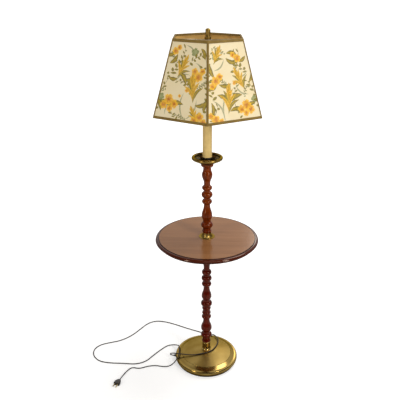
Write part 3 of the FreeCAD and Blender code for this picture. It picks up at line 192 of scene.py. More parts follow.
class LampTurning(bpy.types.PropertyGroup):
    """Sizes of the turned wood."""

    narrow_neck: length("Narrow neck", 0.0122, "Radius of a vase's thin end")
    bead_neck: length("Bead neck", 0.0133, "Radius of the hollows between close beads")
    wide_neck: length("Wide neck", 0.0152, "Radius of the plain drums")
    foot_ring: length("Foot ring", 0.0184, "Radius of the ring at a column's foot")
    foot_ring_height: length("Foot ring height", 0.007, "Height of the ring at a column's foot")
    bead: length("Bead", 0.0194, "Radius of an ordinary bead")
    bead_height: length("Bead height", 0.0185, "Height of an ordinary bead")
    broad_bead: length("Broad bead", 0.0230, "Radius of the widest beads")
    broad_bead_height: length("Broad bead height", 0.0225, "Height of the widest beads")
    small_bead: length("Small bead", 0.0178, "Radius of the small beads round the waist")
    small_bead_height: length("Small bead height", 0.0108, "Height of the small beads round the waist")
    middle_bead: length("Middle bead", 0.0205, "Radius of the bead in the middle of the upper group")
    middle_bead_height: length("Middle bead height", 0.0230, "Height of that bead")
    low_bead_height: length("Low bead height", 0.0170, "Height of the bead over the lower vase")
    top_bead_height: length("Top bead height", 0.0210, "Height of the bead under the top vase")
    fillet: length("Fillet", 0.0055, "Height of a plain fillet between two turnings")
    throat: length("Throat", 0.008, "Height of the plain throat beside a vase's thin end")
    drum: length("Drum", 0.0175, "Height of the drum over the foot ring")
    waist: length("Waist", 0.0115, "Height of the waist between the small beads")
    lower_vase: length("Lower vase", 0.0224, "Greatest radius of the lowest vase")
    lower_vase_shoulder: length("Lower vase shoulder", 0.0185, "From its neck to its widest point")
    lower_vase_taper: length("Lower vase taper", 0.0395, "From its widest point to its thin end")
    middle_vase: length("Middle vase", 0.0200, "Greatest radius of the middle vase")
    middle_vase_shoulder: length("Middle vase shoulder", 0.0165, "From its neck to its widest point")
    middle_vase_taper: length("Middle vase taper", 0.0410, "From its widest point to its thin end")
    top_vase: length("Top vase", 0.0208, "Greatest radius of the vase under the table")
    top_vase_shoulder: length("Top vase shoulder", 0.022, "From its widest point to its neck")
    capital: length("Capital", 0.0270, "Radius of the band under the table")
    capital_flare: length("Capital flare", 0.010, "Height of the flare under that band")
    capital_band: length("Capital band", 0.005, "Height of that band")
    upper_foot: length("Upper foot", 0.003, "Height of the plain foot on the collar")
    upper_drum: length("Upper drum", 0.011, "Height of the upper column's drum")
    upper_vase: length("Upper vase", 0.0206, "Greatest radius of the vase over the table")
    upper_vase_shoulder: length("Upper vase shoulder", 0.020, "From its neck to its widest point")
    upper_vase_taper: length("Upper vase taper", 0.045, "From its widest point to its thin end")
    ball: length("Ball", 0.0211, "Radius of the ball in the middle of the upper column")
    ball_height: length("Ball height", 0.026, "Height of that ball")
    high_vase: length("High vase", 0.0200, "Greatest radius of the vase under the pan")
    high_vase_shoulder: length("High vase shoulder", 0.021, "From its widest point to its neck")
    top_capital: length("Top capital", 0.0234, "Radius of the band under the pan's cup")
    top_capital_flare: length("Top capital flare", 0.011, "Height of the flare under that band")
    top_capital_band: length("Top capital band", 0.005, "Height of that band")


class LampTable(bpy.types.PropertyGroup):
    """Sizes of the table."""

    radius: length("Radius", 0.1995, "Radius at the widest point of the edge")
    field: length("Field", 0.1870, "Radius of the flat field")
    step: length("Step", 0.0016, "Drop from the field to the moulding")
    quirk: length("Quirk", 0.0022, "Width of the groove between the field and the moulding")
    quirk_depth: length("Quirk depth", 0.0014, "Depth of that groove below the step")
    nose: length("Nose", 0.0080, "Drop from the step to the widest point")
    nose_swell: length("Nose swell", 0.0026, "How far the nose swells over a plain slope")
    tuck: length("Tuck", 0.1905, "Radius where the edge is tucked in")
    tuck_hollow: length("Tuck hollow", 0.0016, "Depth of the hollow over the lower bead")
    bead_height: length("Bead height", 0.005, "Height of the lower bead")
    bead_swell: length("Bead swell", 0.002, "How far the lower bead swells")
    undercut: length("Undercut", 0.1875, "Radius of the flat underside")
    recess: length("Recess", 0.0312, "Radius of the shallow seat for the collar")


class LampBrass(bpy.types.PropertyGroup):
    """Sizes of the brass pieces."""

    crown: length("Crown", 0.0206, "Radius of the flat under the neck")
    dome: length("Dome", 0.1026, "Outer radius of the base's dome")
    dome_height: length("Dome height", 0.0357, "Height of the dome's edge")
    dome_swell: length("Dome swell", 0.0012, "How far the dome swells over a cone")
    step: length("Step", 0.0022, "Drop at the dome's edge")
    cove: length("Cove", 0.1268, "Radius where the cove meets the rim")
    cove_height: length("Cove height", 0.0260, "Height of that edge")
    cove_hollow: length("Cove hollow", 0.0022, "Depth of the cove")
    rim: length("Rim", 0.1298, "Radius of the base")
    rim_foot: length("Rim foot", 0.1226, "Radius where the rim turns in")
    rim_foot_height: length("Rim foot height", 0.0054, "Height of the rim's underside")
    neck: length("Neck", 0.0164, "Radius of the brass neck")
    neck_foot: length("Neck foot", 0.0204, "Radius of the neck's foot")
    neck_foot_height: length("Neck foot height", 0.0025, "Height of the neck's foot")
    neck_flare: length("Neck flare", 0.009, "Height of the flare over the foot")
    neck_lip: length("Neck lip", 0.0176, "Radius of the neck's lip")
    neck_lip_height: length("Neck lip height", 0.004, "Height of the neck's lip")
    collar_flange: length("Collar flange", 0.030, "Radius of the flange on the table")
    collar_flange_height: length("Collar flange height", 0.0018, "Height of that flange")
    collar_bell: length("Collar bell", 0.0225, "Radius of the collar's bell over the flange")
    collar_top: length("Collar top", 0.0160, "Radius of the collar's top")
    cup_foot: length("Cup foot", 0.0238, "Radius of the cup under the pan, below")
    cup_mouth: length("Cup mouth", 0.0275, "Radius of that cup, above")
    pan_floor: length("Pan floor", 0.031, "Radius of the pan's flat floor")
    pan_rim: length("Pan rim", 0.0518, "Radius of the centre line of the pan's rolled rim")
    pan_roll: length("Pan roll", 0.0060, "Radius of the roll itself")
    pan_rise: length("Pan rise", 0.014, "From the pan's underside to the roll's centre")
    pan_swell: length("Pan swell", 0.003, "How far the pan's wall swells")
    seat_foot: length("Seat foot", 0.0218, "Radius of the candle's seat, below")
    seat_foot_height: length("Seat foot height", 0.003, "Height of the seat's foot")
    seat_top: length("Seat top", 0.0188, "Radius of the candle's seat, above")
    finial_nut: length("Finial nut", 0.0115, "Radius of the finial's nut")
    finial_nut_height: length("Finial nut height", 0.0085, "Height of the finial's nut")
    finial_waist: length("Finial waist", 0.0065, "Radius of the finial's waist")
    finial_waist_height: length("Finial waist height", 0.0025, "Height of the finial's waist")
    finial_post: length("Finial post", 0.0085, "Radius of the finial's post")
    finial_crown: length("Finial crown", 0.004, "Height of the finial's domed top")


class LampShade(bpy.types.PropertyGroup):
    """Sizes of the shade and its print."""

    top: length("Top", 0.1342, "Axis to corner at the upper edge")
    bottom: length("Bottom", 0.2138, "Axis to corner at the lower edge")
    tape: length("Tape", 0.009, "Width of the tapes")
    fold: length("Fold", 0.006, "How far the edge tapes go up inside")
    stem_width: length("Stem width", 0.0010, "Width of the printed stems")
    hand_wobble: length("Hand wobble", 0.0016, "How far the print strays from clean outlines")


class LampColours(bpy.types.PropertyGroup):
    """Colours of the finishes."""

    brass: colour("Brass", (0.37, 0.256, 0.080), "Lacquered brass where it is clean")
    brass_dark: colour("Dark brass", (0.27, 0.175, 0.045), "Brass where it has darkened")
    bronze: colour("Bronze", (0.11, 0.040, 0.014), "Brown lacquer on the cup under the pan")
    # Painted reflection: the grey green that the pan's inside shows.
    pan: colour("Pan", (0.120, 0.112, 0.085), "Grey green brass inside the pan")
    # Dark specks on the small brass pieces, and painted shade along the base's foot.
    grime_and_foot_shade: colour("Soil", (0.030, 0.014, 0.006), "Dirt along the base's foot")
    wood: colour("Turned wood", (0.190, 0.028, 0.001), "Red brown of the wood above the table")
    wood_low: colour("Lower wood", (0.092, 0.004, 0.001), "Deeper red of the wood below the table")
    wood_dark: colour("Dark grain", (0.028, 0.003, 0.001), "Grain of the turned wood")
    table: colour("Table", (0.285, 0.130, 0.050), "Red brown of the table's field")
    table_dark: colour("Table grain", (0.220, 0.094, 0.034), "Grain of the table's field")
    table_edge: colour("Table edge", (0.058, 0.009, 0.003), "Darker red of the table's moulded edge")
    # Painted shade in the groove round the field.
    groove_shade: colour("Glaze", (0.045, 0.011, 0.005), "Dark glaze in the groove round the field")
    candle: colour("Candle", (0.75, 0.55, 0.21), "Cream of the candle sleeve")
    ground: colour("Ground", (0.80, 0.70, 0.47), "Cream ground of the print")
    lining: colour("Lining", (0.74, 0.47, 0.145), "Golden brown card inside the shade")
    tape: colour("Tape", (0.200, 0.130, 0.031), "Olive brown of the tapes")
    lead: colour("Lead", (0.018, 0.012, 0.009), "Dark brown of the lead")


# ================================================================ outlines and meshes
class Outline:
    """Half outline of a turned piece as (radius, height) points; curves are cut into short steps."""

    CURVE_STEPS = 12

    def __init__(self, radius, height):
        self.points = [(radius, height)]

    @property
    def end(self):
        return self.points[-1]

    def line(self, radius, height):
        self.points.append((radius, height))
        return self

    def up(self, rise):
        return self.line(self.end[0], self.end[1] + rise)

    def out(self, radius):
        return self.line(radius, self.end[1])

    def arc(self, radius, height, sag):
        """Arc that swells by sag to the right of the way to its end, or to the left if sag is negative."""
        start, target = Vector(self.end), Vector((radius, height))
        way = target - start
        side = Vector((way.y, -way.x)).normalized()
        half = way.length / 2
        arc_radius = (half ** 2 + sag ** 2) / (2 * abs(sag))
        turn = 2 * math.asin(min(1.0, half / arc_radius))
        if abs(sag) > half:
            turn = math.tau - turn
        bulge = math.copysign(1, sag)
        centre = (start + target) / 2 + side * (sag - bulge * arc_radius)
        first = start - centre
        for step in range(1, self.CURVE_STEPS + 1):
            angle = bulge * turn * step / self.CURVE_STEPS
            spoke = Vector((first.x * math.cos(angle) - first.y * math.sin(angle),
                            first.x * math.sin(angle) + first.y * math.cos(angle)))
            self.points.append(tuple(centre + spoke))
        self.points[-1] = tuple(target)
        return self

    def bead(self, bead_radius, height):
        return self.arc(self.end[0], self.end[1] + height, bead_radius - self.end[0])

    def dome(self, rise):
        """Round cap that closes on the axis."""
        radius = self.end[0]
        sphere = (radius ** 2 + rise ** 2) / (2 * rise)
        half_turn = math.asin(radius / sphere) / 2
        return self.arc(0.0, self.end[1] + rise, sphere * (1 - math.cos(half_turn)))

    def swell(self, radius, rise):
        """S-curve that sets off upwards and arrives upwards."""
        start_radius, start_height = self.end
        stiffness = 0.45
        for step in range(1, self.CURVE_STEPS + 1):
            t = step / self.CURVE_STEPS
            eased = t * t * (3 - 2 * t)
            height = 3 * (1 - t) ** 2 * t * stiffness + 3 * (1 - t) * t * t * (1 - stiffness) + t ** 3
            self.line(start_radius + (radius - start_radius) * eased, start_height + rise * height)
        return self


def new_piece(name, bm, body, node, coat, sharp_angle=35):
    """Makes an object of a bmesh, coats it with a finish and lets it stand for its frame node."""
    bmesh.ops.remove_doubles(bm, verts=bm.verts[:], dist=1e-6)
    bmesh.ops.recalc_face_normals(bm, faces=bm.faces[:])
    for face in bm.faces:
        face.smooth = True
    mesh = bpy.data.meshes.new(name)
    bm.to_mesh(mesh)
    bm.free()
    mesh.set_sharp_from_angle(angle=math.radians(sharp_angle))
    piece = bpy.data.objects.new(name, mesh)
    bpy.context.scene.collection.objects.link(piece)
    mesh.materials.append(coat)
    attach(piece, body)
    if node:
        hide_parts(node)
    return piece


def turned(outline, closed=True):
    """The outline turned about the lamp's axis, as a bmesh. A closed outline ends where it began."""
    bm = bmesh.new()
    verts = [bm.verts.new((radius, 0, height)) for radius, height in outline.points]
    for one, other in zip(verts, verts[1:]):
        bm.edges.new((one, other))
    if closed:
        bm.edges.new((verts[-1], verts[0]))
    bmesh.ops.spin(bm, geom=bm.verts[:] + bm.edges[:], cent=(0, 0, 0), axis=(0, 0, 1),
                   angle=math.tau, steps=TURNING_STEPS, use_merge=True)
    return bm


def smooth_copy(name, node, body, coat, sharp_angle=35):
    """A frame node's own shape with its loose triangles merged and shaded smooth."""
    bm = bmesh.new()
    bm.from_mesh(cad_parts[node].data)
    return new_piece(name, bm, body, node, coat, sharp_angle)


def paint(node, coat):
    """Gives a frame node its finish as it stands."""
    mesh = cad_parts[node].data
    mesh.materials.clear()
    mesh.materials.append(coat)


# ================================================================ finishes
class NodeSketch:
    """Adds shader nodes to a tree and joins them up."""

    def __init__(self, tree):
        self.tree = tree

    def add(self, kind, **settings):
        node = self.tree.nodes.new(kind)
        for key, value in settings.items():
            setattr(node, key, value)
        return node

    def feed(self, socket, value):
        if isinstance(value, bpy.types.NodeSocket):
            self.tree.links.new(value, socket)
        else:
            socket.default_value = value

    def math(self, operation, *values):
        node = self.add("ShaderNodeMath", operation=operation)
        for socket, value in zip(node.inputs, values):
            self.feed(socket, value)
        return node.outputs[0]

    def vector_math(self, operation, *values):
        node = self.add("ShaderNodeVectorMath", operation=operation)
        for socket, value in zip(node.inputs, values):
            self.feed(socket, value)
        return node.outputs["Value" if operation in {"LENGTH", "DOT_PRODUCT"} else "Vector"]

    def split(self, vector):
        node = self.add("ShaderNodeSeparateXYZ")
        self.feed(node.inputs[0], vector)
        return node.outputs

    def group(self, tree, *values):
        node = self.add("ShaderNodeGroup", node_tree=tree)
        for socket, value in zip(node.inputs, values):
            self.feed(socket, value)
        return node.outputs[0]

    def objectspace(self, stretch=(1, 1, 1)):
        """Object coordinates, drawn out or packed along each axis."""
        place = self.add("ShaderNodeTexCoord").outputs["Object"]
        return self.vector_math("MULTIPLY", place, stretch)

    def noise(self, place, scale, detail=3.0, roughness=0.5, distortion=0.0):
        node = self.add("ShaderNodeTexNoise")
        self.feed(node.inputs["Vector"], place)
        node.inputs["Scale"].default_value = scale
        node.inputs["Detail"].default_value = detail
        node.inputs["Roughness"].default_value = roughness
        node.inputs["Distortion"].default_value = distortion
        return node.outputs[0]

    def ramp(self, factor, *stops):
        """Colours at stops, each (place, (red, green, blue))."""
        node = self.add("ShaderNodeValToRGB")
        self.feed(node.inputs[0], factor)
        elements = node.color_ramp.elements
        while len(elements) < len(stops):
            elements.new(1.0)
        for element, (place, rgb) in zip(elements, stops):
            element.position = place
            element.color = (*rgb, 1.0)
        return node.outputs[0]

    def remap(self, value, low, high, new_low, new_high):
        node = self.add("ShaderNodeMapRange")
        for socket, number in zip(node.inputs, (value, low, high, new_low, new_high)):
            self.feed(socket, number)
        return node.outputs[0]

    def mix(self, factor, first, second, blend="MIX"):
        node = self.add("ShaderNodeMix", data_type="RGBA", blend_type=blend)
        self.feed(node.inputs[0], factor)
        for socket, value in ((node.inputs[6], first), (node.inputs[7], second)):
            self.feed(socket, value if isinstance(value, bpy.types.NodeSocket) else (*value, 1.0))
        return node.outputs[2]

    def bump(self, height, depth, strength=1.0):
        node = self.add("ShaderNodeBump")
        node.inputs["Strength"].default_value = strength
        node.inputs["Distance"].default_value = depth
        self.feed(node.inputs["Height"], height)
        return node.outputs[0]


class Finish(NodeSketch):
    """A material with one main shader."""

    def __init__(self, name):
        self.material = bpy.data.materials.new(name)
        self.material.use_nodes = True
        super().__init__(self.material.node_tree)
        self.tree.nodes.clear()
        self.shader = self.add("ShaderNodeBsdfPrincipled")
        output = self.add("ShaderNodeOutputMaterial")
        self.tree.links.new(self.shader.outputs[0], output.inputs["Surface"])

    def set(self, **values):
        """Sets or joins sockets of the shader, named with _ for a space."""
        for name, value in values.items():
            socket = self.shader.inputs[name.replace("_", " ")]
            if not isinstance(value, bpy.types.NodeSocket) and socket.type == "RGBA":
                value = (*value, 1.0)
            self.feed(socket, value)
        return self.material


FINISHES = {}


def finish(name):
    """The finish of that name, made when it is first asked for."""
    if name not in FINISHES:
        FINISHES[name] = FINISH_MAKERS[name](Finish(name.replace("_", " ")), bpy.context.scene.lamp_colours)
    return FINISHES[name]


def brass_surface(f, tone, clouds, dull=0.32, bright=0.23):
    """Metal with faint rings from the lathe, duller where it is cloudy."""
    rings = f.math("SINE", f.math("MULTIPLY", f.vector_math("LENGTH", f.objectspace((1, 1, 0))), LATHE_RINGS))
    return f.set(Base_Color=tone, Metallic=1.0, Roughness=f.remap(clouds, 0.3, 0.7, dull, bright),
                 Specular_Tint=(0.50, 0.44, 0.32),
                 Normal=f.bump(f.math("MULTIPLY_ADD", rings, 0.3, clouds), 0.00004, 0.3))


def aged_brass(f, colours):
    """Spun brass under old lacquer: soft cloudy darkening, small specks, and painted shade that darkens it to
    near black at the very foot.
    """
    place = f.objectspace()
    clouds = f.noise(place, 13.0, 3.0, 0.5, 0.3)
    specks = f.noise(place, 260.0, 3.0, 0.65)
    tone = f.mix(f.remap(clouds, 0.35, 0.68, 0.0, 1.0), colours.brass_dark, colours.brass)
    tone = f.mix(f.remap(specks, 0.64, 0.78, 0.0, 0.30), tone, colours.brass_dark)
    # Painted shade: darker towards the very foot, near black at the bottom of the rim.
    tone = f.mix(f.remap(f.split(place)[2], 0.009, 0.020, 0.94, 0.0), tone, colours.grime_and_foot_shade)
    reach = f.vector_math("LENGTH", f.objectspace((1, 1, 0)))
    dull = f.remap(reach, 0.1015, 0.1035, 0.40, 0.20)
    return brass_surface(f, tone, clouds, dull, f.math("MULTIPLY", dull, 0.8))


def bright_brass(f, colours):
    """Brass of the small pieces, rubbed brighter, with dark specks."""
    clouds = f.noise(f.objectspace(), 45.0, 3.0, 0.5, 0.3)
    specks = f.noise(f.objectspace(), 300.0, 3.0, 0.65)
    rubbed = tuple(min(1.0, channel * 1.7) for channel in colours.brass)
    tone = f.mix(f.remap(clouds, 0.40, 0.70, 0.0, 0.6), rubbed, colours.brass_dark)
    tone = f.mix(f.remap(specks, 0.64, 0.78, 0.0, 0.35), tone, colours.grime_and_foot_shade)
    return brass_surface(f, tone, clouds, 0.30, 0.20)


def bronzed_cup(f, colours):
    """Brown lacquer over brass, the colour of the wood beside it."""
    clouds = f.noise(f.objectspace(), 60.0, 4.0, 0.6)
    darker = tuple(channel * 0.5 for channel in colours.bronze)
    tone = f.mix(f.remap(clouds, 0.35, 0.65, 0.0, 1.0), darker, colours.bronze)
    return brass_surface(f, tone, clouds, 0.26, 0.18)


def pan_brass(f, colours):
    """Brass of the pan: a painted grey green reflection inside, brown gold on its rolled rim."""
    place = f.objectspace()
    clouds = f.noise(place, 30.0, 3.0, 0.5, 0.3)
    reach = f.vector_math("LENGTH", f.objectspace((1, 1, 0)))
    rim = bpy.context.scene.lamp_brass.pan_rim
    # Painted reflection: grey green inside the pan, turning to dark brass towards the rolled rim.
    tone = f.mix(f.remap(reach, rim - 0.010, rim - 0.002, 0.0, 1.0), colours.pan, colours.brass_dark)
    tone = f.mix(f.remap(clouds, 0.4, 0.7, 0.0, 0.4), tone, colours.brass_dark)
    return brass_surface(f, tone, clouds)


def turned_wood(f, colours):
    """Dark red wood under a thick gloss lacquer, its grain running up the column."""
    grain = f.noise(f.objectspace((1, 1, 0.06)), 130.0, 5.0, 0.65, 0.6)
    pores = f.noise(f.objectspace((1, 1, 0.03)), 900.0, 2.0, 0.5)
    height = f.split(f.objectspace())[2]
    red = f.mix(f.remap(height, 0.50, 0.72, 0.0, 1.0), colours.wood_low, colours.wood)
    tone = f.mix(f.remap(grain, 0.32, 0.58, 0.25, 1.0), colours.wood_dark, red)
    tone = f.mix(f.remap(pores, 0.60, 0.72, 0.0, 0.5), tone, colours.wood_dark)
    return f.set(Base_Color=tone, Roughness=0.07, Specular_IOR_Level=0.28,
                 Specular_Tint=(1.0, 0.72, 0.50), Normal=f.bump(grain, 0.00003, 0.1))


def table_wood(f, colours):
    """Red brown boards with long quiet grain and satin lacquer, a darker edge and painted shade in the groove
    round the field.
    """
    sizes = bpy.context.scene.lamp_table
    grain = f.noise(f.objectspace((0.35, 5.0, 5.0)), 9.0, 6.0, 0.60, 0.8)
    fine = f.noise(f.objectspace((1.2, 40.0, 40.0)), 24.0, 3.0, 0.6)
    rubbed = f.noise(f.objectspace(), 7.0, 3.0, 0.55)
    field = f.mix(f.remap(grain, 0.30, 0.72, 0.0, 1.0), colours.table_dark, colours.table)
    tone = f.mix(f.remap(fine, 0.58, 0.80, 0.0, 0.30), field, colours.table_dark)
    reach = f.vector_math("LENGTH", f.objectspace((1, 1, 0)))
    past_field = f.remap(reach, sizes.field - 0.002, sizes.field + 0.001, 0.0, 1.0)
    tone = f.mix(past_field, tone, colours.table_edge)
    # Painted shade: a dark ring along the groove round the field.
    off_groove = f.math("ABSOLUTE", f.math("SUBTRACT", reach, sizes.field + sizes.quirk / 4))
    tone = f.mix(f.remap(off_groove, 0.0012, 0.0030, 0.95, 0.0), tone, colours.groove_shade)
    edge = f.remap(reach, sizes.field, sizes.field + sizes.quirk, 0.0, 1.0)
    satin = f.remap(rubbed, 0.35, 0.65, 0.15, 0.24)
    gloss = f.math("MULTIPLY", satin, f.math("MULTIPLY_ADD", edge, -0.6, 1.0))
    return f.set(Base_Color=tone, Roughness=gloss,
                 Specular_IOR_Level=f.math("MULTIPLY_ADD", edge, 0.12, 0.24), Specular_Tint=(1.0, 0.80, 0.66),
                 Normal=f.bump(f.math("ADD", grain, fine), 0.00005, 0.2))


def black_enamel(f, colours):
    """Black lacquered ring, faintly uneven."""
    waves = f.noise(f.objectspace(), 90.0, 2.0)
    tone = f.ramp(waves, (0.3, (0.010, 0.009, 0.008)), (0.7, (0.026, 0.020, 0.015)))
    return f.set(Base_Color=tone, Roughness=f.remap(waves, 0.3, 0.7, 0.20, 0.34), Specular_IOR_Level=0.3,
                 Normal=f.bump(waves, 0.0001, 0.3))


def candle_cream(f, colours):
    """Cream tube like wax, a little mottled, with long soft streaks."""
    mottle = f.noise(f.objectspace(), 75.0, 4.0, 0.6)
    streaks = f.noise(f.objectspace((1, 1, 0.08)), 160.0, 3.0, 0.5)
    lighter = tuple(min(1.0, channel * 1.16) for channel in colours.candle)
    tone = f.mix(f.remap(mottle, 0.3, 0.7, 0.0, 1.0), colours.candle, lighter)
    tone = f.mix(f.remap(streaks, 0.55, 0.75, 0.0, 0.20), tone, (0.45, 0.31, 0.13))
    return f.set(Base_Color=tone, Roughness=0.45, Specular_IOR_Level=0.4,
                 Normal=f.bump(f.math("ADD", mottle, streaks), 0.0003, 0.35))


def nickel(f, colours):
    """Dull nickel plate with fine drawn lines."""
    lines = f.noise(f.objectspace((1, 1, 0.05)), 700.0, 2.0)
    tone = f.ramp(lines, (0.3, (0.50, 0.46, 0.38)), (0.7, (0.66, 0.62, 0.54)))
    return f.set(Base_Color=tone, Metallic=1.0, Roughness=f.remap(lines, 0.3, 0.7, 0.22, 0.34),
                 Normal=f.bump(lines, 0.00003, 0.3))


def zinc_steel(f, colours):
    """Zinc-plated steel with a crystalline bloom."""
    bloom = f.noise(f.objectspace(), 180.0, 4.0, 0.7)
    tone = f.ramp(bloom, (0.3, (0.40, 0.40, 0.38)), (0.7, (0.60, 0.60, 0.58)))
    return f.set(Base_Color=tone, Metallic=1.0, Roughness=f.remap(bloom, 0.3, 0.7, 0.35, 0.50),
                 Normal=f.bump(bloom, 0.00005, 0.4))


def cast_iron(f, colours):
    """Rough cast iron with sand texture and a trace of rust."""
    sand = f.noise(f.objectspace(), 420.0, 5.0, 0.75)
    rust = f.noise(f.objectspace(), 30.0, 4.0, 0.6)
    tone = f.ramp(rust, (0.42, (0.045, 0.043, 0.042)), (0.72, (0.12, 0.055, 0.025)))
    return f.set(Base_Color=tone, Metallic=0.6, Roughness=0.72, Normal=f.bump(sand, 0.0005, 0.7))


def green_felt(f, colours):
    """Dark green felt with short crossed fibres."""
    fibres = f.noise(f.objectspace((1, 0.25, 1)), 900.0, 4.0, 0.7, 1.5)
    tone = f.ramp(fibres, (0.3, (0.012, 0.030, 0.016)), (0.7, (0.035, 0.075, 0.042)))
    return f.set(Base_Color=tone, Roughness=0.95, Sheen_Weight=0.5, Normal=f.bump(fibres, 0.0006, 0.8))


def insulating_card(f, colours):
    """Brown card inside the lamp holder."""
    pulp = f.noise(f.objectspace(), 500.0, 4.0, 0.6)
    tone = f.ramp(pulp, (0.3, (0.20, 0.13, 0.07)), (0.7, (0.34, 0.24, 0.14)))
    return f.set(Base_Color=tone, Roughness=0.85, Normal=f.bump(pulp, 0.0002, 0.5))


def black_moulding(f, colours):
    """Black moulded resin, slightly marbled."""
    marble = f.noise(f.objectspace(), 60.0, 3.0, 0.5, 1.0)
    tone = f.ramp(marble, (0.4, (0.012, 0.010, 0.009)), (0.75, (0.045, 0.030, 0.020)))
    return f.set(Base_Color=tone, Roughness=f.remap(marble, 0.3, 0.7, 0.22, 0.38),
                 Normal=f.bump(marble, 0.0001, 0.2))


def frosted_glass(f, colours):
    """Frosted bulb glass."""
    frost = f.noise(f.objectspace(), 600.0, 3.0, 0.6)
    tone = f.ramp(frost, (0.3, (0.90, 0.89, 0.86)), (0.7, (0.98, 0.98, 0.96)))
    return f.set(Base_Color=tone, Roughness=f.remap(frost, 0.3, 0.7, 0.35, 0.5), Transmission_Weight=0.55,
                 IOR=1.45, Normal=f.bump(frost, 0.00004, 0.4))


def aluminium(f, colours):
    """Drawn aluminium of the bulb's cap."""
    lines = f.noise(f.objectspace((0.2, 0.2, 1)), 900.0, 2.0)
    tone = f.ramp(lines, (0.3, (0.58, 0.58, 0.59)), (0.7, (0.74, 0.74, 0.75)))
    return f.set(Base_Color=tone, Metallic=1.0, Roughness=0.34, Normal=f.bump(lines, 0.00003, 0.3))


def shade_lining(f, colours):
    """Brown card inside the shade, a little scorched and fibrous."""
    fibres = f.noise(f.objectspace((1, 1, 0.4)), 220.0, 4.0, 0.65)
    scorch = f.noise(f.objectspace(), 11.0, 3.0, 0.5)
    darker = tuple(channel * 0.72 for channel in colours.lining)
    tone = f.mix(f.remap(scorch, 0.35, 0.68, 0.0, 1.0), darker, colours.lining)
    tone = f.mix(f.remap(fibres, 0.58, 0.74, 0.0, 0.30), tone, (0.55, 0.38, 0.17))
    return f.set(Base_Color=tone, Roughness=0.8, Normal=f.bump(fibres, 0.0002, 0.4))


def olive_tape(f, colours):
    """Ribbed olive brown tape, paler where it is rubbed."""
    place = f.objectspace()
    ribs = f.math("SINE", f.math("MULTIPLY", f.split(place)[2], TAPE_RIBS))
    weave = f.noise(place, 900.0, 3.0, 0.6)
    rubbed = f.noise(place, 28.0, 4.0, 0.6)
    paler = tuple(channel * 1.55 for channel in colours.tape)
    tone = f.mix(f.remap(rubbed, 0.42, 0.72, 0.0, 0.8), colours.tape, paler)
    tone = f.mix(f.remap(weave, 0.35, 0.65, 0.0, 0.35), tone, (0.13, 0.085, 0.03))
    height = f.math("ADD", f.math("MULTIPLY", ribs, 0.35), weave)
    return f.set(Base_Color=tone, Roughness=0.72, Specular_IOR_Level=0.2, Normal=f.bump(height, 0.0003, 0.6))


def frame_wire(f, colours):
    """Wire of the shade's frame, cream enamel over steel."""
    chips = f.noise(f.objectspace(), 240.0, 4.0, 0.7)
    tone = f.ramp(chips, (0.40, (0.30, 0.24, 0.15)), (0.60, (0.52, 0.45, 0.32)))
    return f.set(Base_Color=tone, Metallic=0.3, Roughness=0.45, Normal=f.bump(chips, 0.0001, 0.4))


def lead_cover(f, colours):
    """Dark brown cover of the lead, satin with fine lengthwise marks."""
    marks = f.noise(f.objectspace(), 350.0, 3.0, 0.6)
    paler = tuple(channel * 1.9 for channel in colours.lead)
    tone = f.mix(f.remap(marks, 0.4, 0.7, 0.0, 1.0), colours.lead, paler)
    return f.set(Base_Color=tone, Roughness=f.remap(marks, 0.3, 0.7, 0.38, 0.55), Specular_IOR_Level=0.3,
                 Normal=f.bump(marks, 0.0001, 0.4))


def blade_brass(f, colours):
    """Bare brass of the plug's blades with long scratches."""
    scratches = f.noise(f.objectspace((0.15, 1, 1)), 900.0, 3.0, 0.6)
    tone = f.ramp(scratches, (0.3, (0.52, 0.38, 0.15)), (0.7, (0.72, 0.56, 0.26)))
    return f.set(Base_Color=tone, Metallic=1.0, Roughness=0.3, Normal=f.bump(scratches, 0.00004, 0.4))


